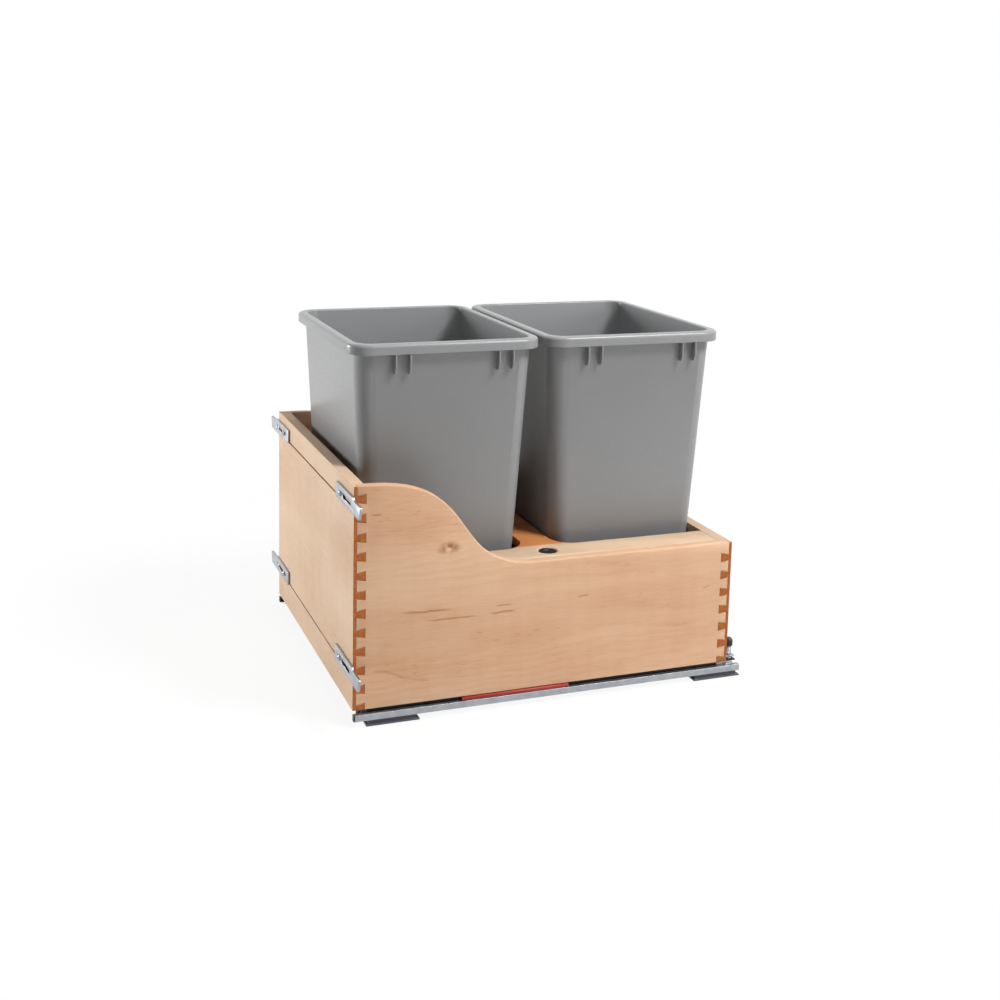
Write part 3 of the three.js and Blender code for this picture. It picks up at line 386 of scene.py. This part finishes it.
def maple(name, along, seed, wood, corner, pale=False, marks=(), knot=None, painted_shade_half=0.0):
    """Satin maple whose fibres run along one axis, with darker end grain across it. Pale boards take paler
    copies of the maple as painted sheen, and the deck's middle band is painted shade.
    """
    # Painted sheen: pale boards use the paler copies of the maple.
    early, late = (wood.painted_sheen_light, wood.painted_sheen_dark) if pale else (wood.light, wood.dark)
    stain = opaque(wood.mark)
    finish = Finish(name)
    depth_axis, level_axis = [axis for axis in range(3) if axis != along]

    def grain(kind):
        lengthwise, crosswise, detail, roughness = GRAIN_NOISES[kind]
        scale = [crosswise] * 3
        scale[along] = lengthwise
        place = finish.stretched(scale, (seed, seed * 1.7, seed * 0.6))
        return finish.noise(place, detail=detail, roughness=roughness)

    xyz = finish.node("ShaderNodeSeparateXYZ", {"Vector": finish.place}).outputs
    wander = finish.sum("MULTIPLY_ADD", grain("sway"), HEART_SWAY, -HEART_SWAY / 2)
    height = finish.sum("SUBTRACT", xyz[level_axis], corner[2] + HEART_HEIGHT)
    height = finish.sum("ADD", height, wander)
    if knot:
        along_knot = finish.sum("SUBTRACT", xyz[1], corner[1] + knot[0])
        over_knot = finish.sum("SUBTRACT", xyz[2], corner[2] + knot[1])
        away = finish.reach(finish.sum("DIVIDE", along_knot, KNOT_STRETCH), over_knot)
        height = finish.sum("ADD", height, finish.rise(away, 0.0, KNOT_REACH, KNOT_PULL, 0.0))
    behind = finish.sum("ADD", finish.sum("SUBTRACT", xyz[depth_axis], corner[0]), HEART_BEHIND)
    rings = growth_rings(finish, finish.reach(height, behind), wood.ring_spacing)
    broad = grain("broad")
    fibre = grain("fibre")

    tone = finish.sum("MULTIPLY_ADD", finish.rise(broad, 0.3, 0.72), BROAD_TONE, BASE_TONE)
    contrast = finish.rise(grain("ring_contrast"), 0.4, 0.66, *RING_TONES)
    tone = finish.sum("MULTIPLY_ADD", rings, contrast, tone)
    tone = finish.sum("MULTIPLY_ADD", finish.rise(fibre, 0.3, 0.72, -0.5, 0.5), FIBRE_TONE, tone)
    tone = finish.sum("MULTIPLY_ADD", finish.rise(grain("curl"), 0.3, 0.7, -0.5, 0.5), CURL_TONE, tone)
    colour = finish.tint(tone, opaque(early), opaque(late))
    # Painted shade: inside the band the wood takes the darker orange-brown of the shade between the bins.
    if painted_shade_half:
        middle = finish.tint(tone, opaque(wood.painted_shade_light), opaque(wood.painted_shade_dark))
        outside = finish.rise(
            finish.sum("ABSOLUTE", xyz[0]), painted_shade_half - SHADE_EDGE_HALF, painted_shade_half + SHADE_EDGE_HALF
        )
        colour = finish.tint(outside, middle, colour)
    flecks = finish.sum("MULTIPLY", finish.rise(grain("pore"), 0.66, 0.76), finish.rise(broad, 0.45, 0.62))
    colour = finish.tint(finish.sum("MULTIPLY", flecks, FLECK_TONE), colour, stain)
    for mark in marks:
        colour = finish.tint(grain_mark(finish, xyz, corner, mark), colour, stain)
    if knot:
        colour = finish.tint(knot_crown(finish, away, over_knot, grain("crown")), colour, stain)
        colour = finish.tint(finish.rise(away, 0.0024, 0.0006, 0.0, 0.4), colour, opaque(early, 1.1))
    colour = finish.tint(cut_end(finish, along), colour, end_grain(finish, grain("speckle"), wood))

    satin = finish.rise(fibre, 0.2, 0.8, 0.54, 0.68)
    finish.set(Base_Color=colour, Roughness=satin, Specular_IOR_Level=0.22)
    finish.bump(finish.sum("ADD", fibre, finish.sum("MULTIPLY", flecks, -0.8)), 0.00008, 0.55)
    return finish.material


def growth_rings(finish, distance, spacing):
    """Late wood that builds up slowly in each ring and ends at once."""
    ring = finish.sum("FRACT", finish.sum("DIVIDE", distance, spacing))
    return finish.sum("MULTIPLY", finish.rise(ring, 0.2, 0.86), finish.rise(ring, 1.0, 0.86))


def knot_crown(finish, away, over, speckle):
    """The dark ring round a small knot, stronger above it than below."""
    crown = finish.sum("MULTIPLY", finish.rise(away, 0.001, 0.0045), finish.rise(away, 0.0135, 0.0045))
    crown = finish.sum("MULTIPLY", crown, finish.rise(over, -0.007, 0.004, 0.2, 1.0))
    return finish.sum("MULTIPLY", crown, finish.rise(speckle, 0.35, 0.6, 0.35, 0.95))


def cut_end(finish, along):
    """1 on a face across the fibres and 0 on one along them."""
    facing = finish.node("ShaderNodeTexCoord").outputs["Normal"]
    parts = finish.node("ShaderNodeSeparateXYZ", {"Vector": facing}).outputs
    return finish.rise(finish.sum("ABSOLUTE", parts[along]), 0.72, 0.93)


def end_grain(finish, speckle, wood):
    """Cut fibres, speckled between two shades."""
    darker, lighter = (opaque(wood.end_grain, shade) for shade in (0.86, 1.16))
    return finish.tint(finish.rise(speckle, 0.35, 0.68), darker, lighter)


def grain_mark(finish, xyz, corner, mark):
    """How strongly one thin dark streak shows, on a board whose grain runs along Y."""
    start, height, half_length, half_width, rise, strength = mark
    wobble = 0.004
    along = finish.sum("SUBTRACT", xyz[1], corner[1] + start)
    wander = finish.noise(finish.stretched((40.0, 40.0, 40.0), (height * 50, 0.0, 0.0)), detail=1.0)
    line = finish.sum("MULTIPLY_ADD", along, rise, corner[2] + height - wobble / 2)
    line = finish.sum("MULTIPLY_ADD", wander, wobble, line)
    off = finish.sum("ABSOLUTE", finish.sum("SUBTRACT", xyz[2], line))
    inside = finish.rise(finish.sum("ABSOLUTE", along), half_length, half_length * 0.45)
    core = finish.rise(off, half_width * 1.9, half_width * 0.3)
    return finish.sum("MULTIPLY", finish.sum("MULTIPLY", core, inside), strength)


def plywood(wood):
    """Birch face veneer of the floor panel."""
    finish = Finish("birch_plywood")
    broad = finish.noise(finish.stretched((3.0, 18.0, 3.0)), detail=3.0)
    fibre = finish.noise(finish.stretched((20.0, 700.0, 400.0)), detail=2.0)
    tone = finish.sum("MULTIPLY_ADD", fibre, 0.5, finish.sum("MULTIPLY", broad, 0.5))
    colour = finish.tint(tone, opaque(wood.plywood, 1.06), opaque(wood.plywood, 0.8))
    finish.set(Base_Color=colour, Roughness=0.55)
    finish.bump(fibre, 0.0001, 0.5)
    return finish.material


def moulded(name, colour, roughness, variation=0.05):
    """Moulded plastic with a fine spark-eroded texture."""
    finish = Finish(name)
    cloud = finish.noise(finish.place, scale=9.0, detail=3.0)
    grit = finish.noise(finish.place, scale=900.0, detail=2.0, roughness=0.7)
    darker, lighter = (opaque(colour, shade) for shade in (1.0 - variation, 1.0 + variation))
    tone = finish.tint(finish.rise(cloud, 0.3, 0.7), darker, lighter)
    finish.set(Base_Color=tone, Roughness=finish.rise(grit, 0.2, 0.8, roughness - 0.05, roughness + 0.06))
    finish.bump(grit, 0.00003, 0.6)
    return finish.material


def bin_plastic(bins):
    """Polypropylene with a soft sheen and faint vertical flow lines."""
    finish = Finish("bin_plastic")
    flow = finish.noise(finish.stretched((26.0, 26.0, 1.2)), detail=2.0)
    cloud = finish.noise(finish.place, scale=5.0, detail=3.0)
    grit = finish.noise(finish.place, scale=1100.0, detail=2.0, roughness=0.7)
    tone = finish.sum("MULTIPLY_ADD", flow, 0.35, finish.sum("MULTIPLY", cloud, 0.65))
    colour = finish.tint(tone, opaque(bins.colour, 0.95), opaque(bins.colour, 1.05))
    sheen = finish.rise(grit, 0.2, 0.8, 0.25, 0.33)
    finish.set(Base_Color=colour, Roughness=sheen, Specular_IOR_Level=0.38)
    finish.bump(grit, 0.00004, 0.5)
    return finish.material


def zinc_sheet(name, colour, along, roughness=0.34):
    """Zinc plate with faint rolling lines along one axis and a mottled bloom."""
    finish = Finish(name)
    scale = [1400.0] * 3
    scale[along] = 12.0
    lines = finish.noise(finish.stretched(scale), detail=2.0)
    bloom = finish.noise(finish.place, scale=70.0, detail=4.0, roughness=0.6)
    tone = finish.tint(finish.rise(bloom, 0.3, 0.7), opaque(colour, 0.86), opaque(colour, 1.04))
    rough = finish.sum("MULTIPLY_ADD", lines, 0.08, roughness - 0.12)
    rough = finish.sum("MULTIPLY_ADD", bloom, 0.16, rough)
    finish.set(Base_Color=tone, Metallic=0.92, Roughness=rough)
    finish.bump(lines, 0.00003, 0.5)
    return finish.material


def coated_sheet(colour):
    """Black electro-coated sheet with an even satin."""
    finish = Finish("black_coated_sheet")
    peel = finish.noise(finish.place, scale=420.0, detail=2.0)
    wear = finish.noise(finish.stretched((60.0, 6.0, 60.0)), detail=3.0)
    tone = finish.tint(finish.rise(wear, 0.45, 0.75), opaque(colour), opaque(colour, 1.35))
    satin = finish.rise(wear, 0.3, 0.7, 0.5, 0.6)
    finish.set(Base_Color=tone, Roughness=satin, Specular_IOR_Level=0.25)
    finish.bump(peel, 0.00004, 0.4)
    return finish.material


# ---- Shapes ----


def soften(piece, width, segments):
    """Joins the solid's facets into whole faces and rounds the edges between them."""
    weld = piece.modifiers.new("shared corners", "WELD")
    weld.merge_threshold = SAME_POINT
    planes = piece.modifiers.new("whole faces", "DECIMATE")
    planes.decimate_type = "DISSOLVE"
    planes.angle_limit = FLAT_WITHIN
    rounding = piece.modifiers.new("softened edges", "BEVEL")
    rounding.width = width
    rounding.segments = segments
    rounding.limit_method = "ANGLE"
    rounding.angle_limit = ROUNDED_FROM
    rounding.use_clamp_overlap = False


def dress(node, material, width, segments=2, flat=False):
    """Gives a frame solid its finish and its softened edges. A flat one has no curved faces."""
    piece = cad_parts[node]
    piece.data.materials.clear()
    piece.data.materials.append(material)
    if flat:
        piece.data.shade_flat()
    else:
        piece.data.shade_smooth()
    soften(piece, width, segments)
    piece.modifiers["softened edges"].harden_normals = not flat


def new_piece(name, mesh, material, body, replaced):
    """A piece of this scene that stands for a frame solid and rides on its body."""
    for face in mesh.faces:
        face.smooth = True
    data = bpy.data.meshes.new(name)
    mesh.to_mesh(data)
    mesh.free()
    data.materials.append(material)
    piece = bpy.data.objects.new(name, data)
    bpy.context.scene.collection.objects.link(piece)
    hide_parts(replaced)
    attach(piece, body)
    return piece


def corner_ring(half_x, half_y, radius, z, steps):
    """A rectangle with rounded corners at one level, anticlockwise."""
    points = []
    for quarter, (side_x, side_y) in enumerate(((1, 1), (-1, 1), (-1, -1), (1, -1))):
        for step in range(steps + 1):
            angle = (quarter + step / steps) * math.pi / 2
            x = side_x * (half_x - radius) + radius * math.cos(angle)
            y = side_y * (half_y - radius) + radius * math.sin(angle)
            points.append(Vector((x, y, z)))
    return points


def stack_rings(mesh, rings):
    """Skins a stack of rings and closes its first and last ring."""
    levels = [[mesh.verts.new(point) for point in ring] for ring in rings]
    count = len(levels[0])
    for below, above in zip(levels, levels[1:]):
        for step in range(count):
            following = (step + 1) % count
            mesh.faces.new((below[step], below[following], above[following], above[step]))
    mesh.faces.new(list(reversed(levels[0])))
    mesh.faces.new(levels[-1])


class BinShape:
    """The rings of one bin, from the sizes in its settings and its frame solid's box."""

    def __init__(self, bins, low, high):
        self.bins = bins
        self.base = low.z
        self.height = high.z - low.z
        self.half_x = (high.x - low.x) / 2
        self.half_y = (high.y - low.y) / 2
        self.middle = (low + high) / 2

    def rim(self, inset, level):
        bins = self.bins
        return corner_ring(self.half_x - inset, self.half_y - inset, bins.rim_radius - inset,
                           self.base + level, bins.corner_steps)

    def wall_offset(self, level):
        """From the rim's outer face in to the wall's outer face."""
        bins = self.bins
        return bins.overhang + bins.draft * (1 - level / (self.height - bins.skirt_height))

    def wall(self, level, inset):
        bins = self.bins
        offset = self.wall_offset(level) + inset
        shrink = bins.corner_shrink * (1 - level / self.height)
        radius = bins.rim_radius - bins.overhang / 2 - shrink - inset
        return corner_ring(self.half_x - offset, self.half_y - offset, radius,
                           self.base + level, bins.corner_steps)

    def rounding(self, radius, steps):
        """Pairs of inset and rise around a quarter turn, from a level floor up to an upright wall."""
        turns = [math.pi / 2 * step / steps for step in range(steps + 1)]
        return [(radius * (1 - math.sin(turn)), radius * (1 - math.cos(turn))) for turn in turns]

    def rings(self):
        """From the recess under the base, up the outside, over the rim and down the inside."""
        bins = self.bins
        under_rim = self.height - bins.wall - 0.0005
        skirt_bottom = self.height - bins.skirt_height
        inside = bins.wall + bins.base_recess
        lip = 0.0006
        fillet = 0.002
        mouth_round = 0.002
        rings = [
            self.wall(bins.base_recess, bins.base_band + bins.base_recess),
            self.wall(0, bins.base_band),
        ]
        rings += [self.wall(rise, inset) for inset, rise in self.rounding(bins.foot, 5)]
        rings += [
            self.wall(self.height * 0.5, 0),
            self.wall(under_rim - fillet, 0),
            self.rim(bins.overhang - fillet, under_rim),
            self.rim(bins.skirt_wall, under_rim),
            self.rim(bins.skirt_wall, skirt_bottom + lip),
            self.rim(bins.skirt_wall - lip, skirt_bottom),
            self.rim(lip, skirt_bottom),
            self.rim(0, skirt_bottom + lip),
        ]
        for inset, rise in self.rounding(bins.crown, 7)[::-1]:
            rings.append(self.rim(inset, self.height - rise))
        for inset, rise in self.rounding(mouth_round, 4):
            rings.append(self.wall(self.height - rise, bins.wall - inset))
        rings.append(self.wall(self.height * 0.5, bins.wall))
        for inset, rise in self.rounding(bins.foot, 5)[::-1]:
            rings.append(self.wall(inside + rise, bins.wall + inset))
        return rings


def rib_block(mesh, shape, side, middle):
    """One rib under the rim: a fin with a slanted foot, its free edges rounded."""
    bins = shape.bins
    half = bins.rib_thickness / 2
    inset = 0.0005
    sunk_in_wall = 0.001
    slant_reach = 0.0035
    slant_height = 0.008
    edge_round = 0.0005
    foot = shape.height - bins.skirt_height - bins.rib_drop
    top = shape.height - bins.wall
    outer = shape.half_x - inset
    inner = shape.half_x - shape.wall_offset(foot) - sunk_in_wall
    outline = (
        (inner, foot),
        (outer - slant_reach, foot),
        (outer, foot + slant_height),
        (outer, top),
        (inner, top),
    )
    fins = []
    for offset in (-half, half):
        fins.append([mesh.verts.new((side * x, middle + offset, shape.base + z)) for x, z in outline])
    fins = fins if side > 0 else fins[::-1]
    mesh.faces.new(fins[0])
    mesh.faces.new(fins[1][::-1])
    edges = []
    for step in range(len(outline)):
        following = (step + 1) % len(outline)
        mesh.faces.new((fins[0][following], fins[0][step], fins[1][step], fins[1][following]))
        edges.append((fins[0][step], fins[0][following]))
        edges.append((fins[1][step], fins[1][following]))
    found = [mesh.edges.get(pair) for pair in edges]
    bmesh.ops.bevel(mesh, geom=found, offset=edge_round, segments=2, affect="EDGES", profile=0.5)


def round_point(centre, radius, turn, z):
    """A point on a circle about an upright axis, at a share of a whole turn."""
    angle = turn * math.tau
    return Vector((centre.x + radius * math.cos(angle), centre.y + radius * math.sin(angle), z))


def turned(profile, centre, steps=48):
    """A round piece from its profile of radius and height, listed upwards."""
    mesh = bmesh.new()
    turns = [step / steps for step in range(steps)]
    rings = [[round_point(centre, radius, turn, z) for turn in turns] for radius, z in profile]
    stack_rings(mesh, rings)
    return mesh


def threaded_rod(centre, radius, pitch, depth, bottom, top):
    """A rod whose surface is one helical ridge, faded out at both ends."""
    mesh = bmesh.new()
    facets = 28
    steps = 6
    rows = int((top - bottom) / pitch * steps)
    rings = []
    for row in range(rows + 1):
        z = bottom + (top - bottom) * row / rows
        fade = min(1.0, (rows - row) / steps, row / steps)
        ring = []
        for facet in range(facets):
            turn = facet / facets
            ridge = abs((z / pitch - turn) % 1.0 * 2 - 1)
            ring.append(round_point(centre, radius - depth + depth * ridge * fade, turn, z))
        rings.append(ring)
    stack_rings(mesh, rings)
    return mesh


# ---- Operators ----


class CABINET_OT_stage(bpy.types.Operator):
    """Set up the pale floor, the soft lamps and the camera"""

    bl_idname = "cabinet.stage"
    bl_label = "Stage"

    def execute(self, context):
        studio = context.scene.cabinet_studio
        self.lay_floor(studio)
        self.light_room(context.scene, studio)
        for name, size, place in LAMPS:
            self.hang_lamp(f"{name}_lamp", getattr(studio, f"{name}_power"), size, place)
        self.set_camera(context.scene, studio)
        context.scene.view_settings.view_transform = "Standard"
        return {"FINISHED"}

    def lay_floor(self, studio):
        mesh = bmesh.new()
        bmesh.ops.create_grid(mesh, x_segments=24, y_segments=24, size=FLOOR_HALF)
        data = bpy.data.meshes.new("floor")
        mesh.to_mesh(data)
        mesh.free()
        floor = bpy.data.objects.new("floor", data)
        floor.location.z = -FLOOR_DROP
        bpy.context.scene.collection.objects.link(floor)
        data.materials.append(self.floor_finish(studio))

    def floor_finish(self, studio):
        """A white floor that throws back a little less light than it shows, and keeps its shadow."""
        finish = Finish("white_floor")
        seen = finish.seen_directly()
        grain = finish.noise(finish.place, scale=160.0, detail=2.0)
        bounced = finish.tint(grain, opaque(WHITE, 0.73), opaque(WHITE, 0.77))
        finish.set(Base_Color=finish.tint(seen, bounced, opaque(WHITE, 0.94)), Roughness=0.9)
        glow = finish.node("ShaderNodeEmission", {"Color": opaque(WHITE), "Strength": 1.0}).outputs[0]
        away = finish.node("ShaderNodeVectorMath", {0: finish.place}, operation="LENGTH").outputs["Value"]
        share = finish.sum("MULTIPLY", seen, finish.rise(away, 0.5, 1.4, studio.floor_white, 1.0))
        mixed = finish.node("ShaderNodeMixShader", {0: share, 1: finish.surface.outputs[0], 2: glow})
        finish.feed(finish.tree.nodes["Material Output"].inputs["Surface"], mixed.outputs[0])
        return finish.material

    def light_room(self, scene, studio):
        world = bpy.data.worlds.new("pale_room")
        world.use_nodes = True
        nodes = Nodes(world.node_tree)
        background = world.node_tree.nodes["Background"].inputs
        levels = {"Value": nodes.seen_directly(), "To Min": studio.room_light, "To Max": 1.0}
        nodes.feed(background["Strength"], nodes.node("ShaderNodeMapRange", levels).outputs["Result"])
        nodes.feed(background["Color"], opaque(WHITE))
        scene.world = world

    def hang_lamp(self, name, power, size, place):
        lamp = bpy.data.lights.new(name, "AREA")
        lamp.energy = power
        lamp.size = size
        holder = bpy.data.objects.new(name, lamp)
        holder.location = place
        target = (frame_box[0] + frame_box[1]) / 2
        holder.rotation_euler = (target - Vector(place)).to_track_quat("-Z", "Y").to_euler()
        bpy.context.scene.collection.objects.link(holder)

    def set_camera(self, scene, studio):
        data = bpy.data.cameras.new("photo_camera")
        data.lens = studio.lens
        data.sensor_width = 36.0
        data.shift_x = studio.shift_x
        data.shift_y = studio.shift_y
        data.clip_start = 0.01
        data.clip_end = 100.0
        camera = bpy.data.objects.new("photo_camera", data)
        turn = Matrix.Rotation(studio.azimuth, 4, "Z")
        tilt = Matrix.Rotation(math.pi / 2 - studio.elevation, 4, "X")
        roll = Matrix.Rotation(studio.roll, 4, "Z")
        camera.matrix_world = Matrix.Translation(studio.place) @ turn @ tilt @ roll
        scene.collection.objects.link(camera)
        scene.camera = camera


class CABINET_OT_bins(bpy.types.Operator):
    """Model both bins with their rolled rims and the short ribs under them"""

    bl_idname = "cabinet.bins"
    bl_label = "Bins"

    def execute(self, context):
        bins = context.scene.cabinet_bins
        plastic = bin_plastic(bins)
        for name in ("front_bin", "rear_bin"):
            low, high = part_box(name)
            shape = BinShape(bins, low, high)
            mesh = bmesh.new()
            rings = [[point + Vector((0, shape.middle.y, 0)) for point in ring] for ring in shape.rings()]
            stack_rings(mesh, rings)
            for side in (1, -1):
                for offset in (-bins.rib_outer, -bins.rib_inner, bins.rib_inner, bins.rib_outer):
                    rib_block(mesh, shape, side, shape.middle.y + bins.rib_set_back + offset)
            piece = new_piece(f"{name}_moulding", mesh, plastic, name, name)
            piece.data.set_sharp_from_angle(angle=CREASE)
        return {"FINISHED"}


class CABINET_OT_boards(bpy.types.Operator):
    """Give the four boards of the box their maple grain"""

    bl_idname = "cabinet.boards"
    bl_label = "Box boards"

    def execute(self, context):
        wood = context.scene.cabinet_wood
        low, _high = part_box("side_board_right")
        low.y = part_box("front_board")[0].y
        marked = maple("maple_side_right", 1, 3.1, wood, low, marks=SIDE_MARKS, knot=SIDE_KNOT)
        dress("side_board_right", marked, wood.softening)
        left_low, _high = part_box("side_board_left")
        dress("side_board_left", maple("maple_side_left", 1, 7.4, wood, left_low), wood.softening)
        for name, seed in (("front_board", 11.3), ("back_board", 17.9)):
            corner, _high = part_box(name)
            # Painted sheen: the front and back boards use the pale maple.
            dress(name, maple(f"maple_{name}", 0, seed, wood, corner, pale=True), wood.softening, flat=True)
        return {"FINISHED"}


class CABINET_OT_deck(bpy.types.Operator):
    """Finish the deck, its cleats and the floor panel, and model the hole's plug"""

    bl_idname = "cabinet.deck"
    bl_label = "Deck and floor"

    def execute(self, context):
        wood = context.scene.cabinet_wood
        hardware = context.scene.cabinet_hardware
        corner, _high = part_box("deck_panel")
        # Painted shade in the deck's middle band, and painted sheen in its pale maple.
        deck = maple("maple_deck", 1, 23.6, wood, corner, pale=True, painted_shade_half=DECK_SHADE_HALF)
        dress("deck_panel", deck, wood.softening)
        for side in SIDES:
            dress(f"deck_cleat_{side}", deck, wood.softening, flat=True)
        dress("floor_panel", plywood(wood), wood.softening, flat=True)
        self.model_plug(hardware, moulded("black_plug", hardware.black_moulding, 0.42))
        return {"FINISHED"}

    def model_plug(self, hardware, material):
        """A push-in plug: its head fills the hole's countersink to just below the deck."""
        low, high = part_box("deck_plug")
        body = (high.x - low.x) / 2
        head = body + hardware.plug_overlap
        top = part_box("deck_panel")[1].z - hardware.plug_below
        neck = high.z + 0.0004
        chamfer = 0.0006
        edge_round = 0.0003
        dish = hardware.plug_dish
        profile = (
            (body - chamfer, low.z),
            (body, low.z + chamfer),
            (body, neck),
            (head, neck + 0.001),
            (head, top - 0.0008),
            (head - edge_round, top - edge_round),
            (head - 3 * edge_round, top),
            (dish, top),
            (dish - 0.0010, top - 0.0004),
            (dish - 0.0016, top - 0.0012),
            (dish - 0.0028, top - 0.0015),
        )
        mesh = turned(profile, (low + high) / 2)
        piece = new_piece("deck_plug_head", mesh, material, "drawer", "deck_plug")
        piece.data.set_sharp_from_angle(angle=CREASE)


class CABINET_OT_brackets(bpy.types.Operator):
    """Plate the four door brackets and their screws with zinc"""

    bl_idname = "cabinet.brackets"
    bl_label = "Door brackets"

    def execute(self, context):
        hardware = context.scene.cabinet_hardware
        pressed = zinc_sheet("zinc_pressed", hardware.zinc, 0)
        bright = zinc_sheet("zinc_screw", hardware.zinc, 1, roughness=0.26)
        for corner in CORNERS:
            dress(f"door_bracket_{corner}", pressed, hardware.sheet_softening)
            dress(f"bracket_screw_{corner}", bright, hardware.sheet_softening / 2, 1)
        return {"FINISHED"}


class CABINET_OT_slides(bpy.types.Operator):
    """Finish the nested slide members with their rollers, dampers, caps and guides"""

    bl_idname = "cabinet.slides"
    bl_label = "Slides"

    def execute(self, context):
        hardware = context.scene.cabinet_hardware
        rolled = zinc_sheet("zinc_rolled", hardware.zinc, 1)
        nylon = moulded("white_nylon", hardware.nylon, 0.42, variation=0.02)
        red = moulded("damper_red", hardware.damper_red, 0.42)
        black = moulded("black_cap", hardware.black_moulding, 0.45)
        finishes = {
            "cabinet_member": rolled,
            "intermediate_member": rolled,
            "front_rivet": rolled,
            "rear_rivet": rolled,
            "drawer_member": coated_sheet(hardware.black_coat),
            "lower_carriage": nylon,
            "upper_carriage": nylon,
            "rear_guide": nylon,
            "damper": red,
            "front_cap": black,
            "shelf_tip": black,
        }
        for name, material in finishes.items():
            for side in SIDES:
                dress(f"{name}_{side}", material, hardware.sheet_softening)
        return {"FINISHED"}


class CABINET_OT_rails(bpy.types.Operator):
    """Finish the cross rails and the front locks in slate grey"""

    bl_idname = "cabinet.rails"
    bl_label = "Rails and locks"

    def execute(self, context):
        hardware = context.scene.cabinet_hardware
        slate = moulded("slate_moulding", hardware.slate_moulding, 0.4)
        pin = zinc_sheet("zinc_pin", hardware.zinc, 2, roughness=0.28)
        for name in ("front_cross_rail", "rear_cross_rail"):
            dress(name, slate, hardware.moulding_softening)
        for side in SIDES:
            dress(f"lock_body_{side}", slate, hardware.moulding_softening)
            dress(f"lock_lever_{side}", slate, hardware.moulding_softening)
            dress(f"lock_pin_{side}", pin, hardware.sheet_softening)
        return {"FINISHED"}


class CABINET_OT_adjusters(bpy.types.Operator):
    """Model the tilt knobs and their threaded studs, and finish their brackets"""

    bl_idname = "cabinet.adjusters"
    bl_label = "Tilt adjusters"

    def execute(self, context):
        hardware = context.scene.cabinet_hardware
        black = moulded("black_knob", hardware.black_moulding, 0.36)
        plate = zinc_sheet("zinc_ear", hardware.zinc, 2)
        bright = zinc_sheet("zinc_thread", hardware.zinc, 2, roughness=0.28)
        for side in SIDES:
            self.model_knob(f"tilt_knob_{side}", hardware, black, bright)
            dress(f"adjuster_bracket_{side}", plate, hardware.sheet_softening)
            self.model_stud(f"adjuster_stud_{side}", hardware, bright)
        return {"FINISHED"}

    def model_knob(self, node, hardware, black, bright):
        """A domed head with shallow finger grips, on a threaded sleeve."""
        low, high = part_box(node)
        middle = (low + high) / 2
        underside = high.z - KNOB_OUTLINE[-1][1]
        profile = [(hardware.knob_radius - inset, underside + rise) for inset, rise in KNOB_OUTLINE]
        mesh = turned(profile, middle, steps=96)
        self.cut_grips(mesh, middle, hardware)
        grip = new_piece(f"{node}_head", mesh, black, node, node)
        mesh = threaded_rod(middle, hardware.sleeve_radius, hardware.sleeve_pitch, hardware.sleeve_depth,
                            low.z, underside + 0.0004)
        sleeve = new_piece(f"{node}_sleeve", mesh, bright, node, node)
        for piece in (grip, sleeve):
            piece.data.set_sharp_from_angle(angle=CREASE)

    def cut_grips(self, mesh, middle, hardware):
        """Draws the outer skin in at even steps round the head."""
        skin = hardware.knob_radius - 0.0008
        for point in mesh.verts:
            arm = Vector((point.co.x - middle.x, point.co.y - middle.y))
            if arm.length > skin:
                wave = 0.5 + 0.5 * math.cos(hardware.knob_grips * math.atan2(arm.y, arm.x))
                arm *= 1 - hardware.knob_grip_depth * wave
                point.co.x = middle.x + arm.x
                point.co.y = middle.y + arm.y

    def model_stud(self, node, hardware, material):
        """A threaded stud that stands on a chamfered hexagon."""
        low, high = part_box(node)
        middle = (low + high) / 2
        hex_radius = (high.y - low.y) / 2
        hex_top = low.z + hardware.stud_hex_height
        corner_inset = 0.0006
        chamfer = 0.0005
        mesh = threaded_rod(middle, hardware.stud_radius, hardware.thread_pitch, hardware.thread_depth,
                            hex_top, high.z)
        levels = (
            (corner_inset, low.z),
            (0.0, low.z + chamfer),
            (0.0, hex_top - chamfer),
            (corner_inset, hex_top),
        )
        corners = [0.25 + step / 6 for step in range(6)]
        rings = []
        for inset, z in levels:
            rings.append([round_point(middle, hex_radius - inset, turn, z) for turn in corners])
        stack_rings(mesh, rings)
        piece = new_piece(f"{node}_threaded", mesh, material, "drawer", node)
        piece.data.set_sharp_from_angle(angle=STUD_CREASE)


OPERATORS = (
    CABINET_OT_stage,
    CABINET_OT_bins,
    CABINET_OT_boards,
    CABINET_OT_deck,
    CABINET_OT_brackets,
    CABINET_OT_slides,
    CABINET_OT_rails,
    CABINET_OT_adjusters,
)


class CABINET_PT_pieces(bpy.types.Panel):
    """Lists the pieces of the cabinet"""

    bl_idname = "CABINET_PT_pieces"
    bl_label = "Waste cabinet"
    bl_space_type = "VIEW_3D"
    bl_region_type = "UI"
    bl_category = "Cabinet"

    def draw(self, context):
        for operator in OPERATORS:
            self.layout.operator(operator.bl_idname)
        for group in SETTINGS:
            box = self.layout.box()
            for name in SETTINGS[group].__annotations__:
                box.prop(getattr(context.scene, group), name)


def register():
    for group, kind in SETTINGS.items():
        bpy.utils.register_class(kind)
        setattr(bpy.types.Scene, group, PointerProperty(type=kind))
    for operator in OPERATORS:
        bpy.utils.register_class(operator)
    bpy.utils.register_class(CABINET_PT_pieces)


def unregister():
    bpy.utils.unregister_class(CABINET_PT_pieces)
    for operator in reversed(OPERATORS):
        bpy.utils.unregister_class(operator)
    for group, kind in reversed(SETTINGS.items()):
        delattr(bpy.types.Scene, group)
        bpy.utils.unregister_class(kind)


def main():
    register()
    bpy.ops.cabinet.stage()
    bpy.ops.cabinet.bins()
    bpy.ops.cabinet.boards()
    bpy.ops.cabinet.deck()
    bpy.ops.cabinet.brackets()
    bpy.ops.cabinet.slides()
    bpy.ops.cabinet.rails()
    bpy.ops.cabinet.adjusters()


if __name__ == "__main__":
    main()
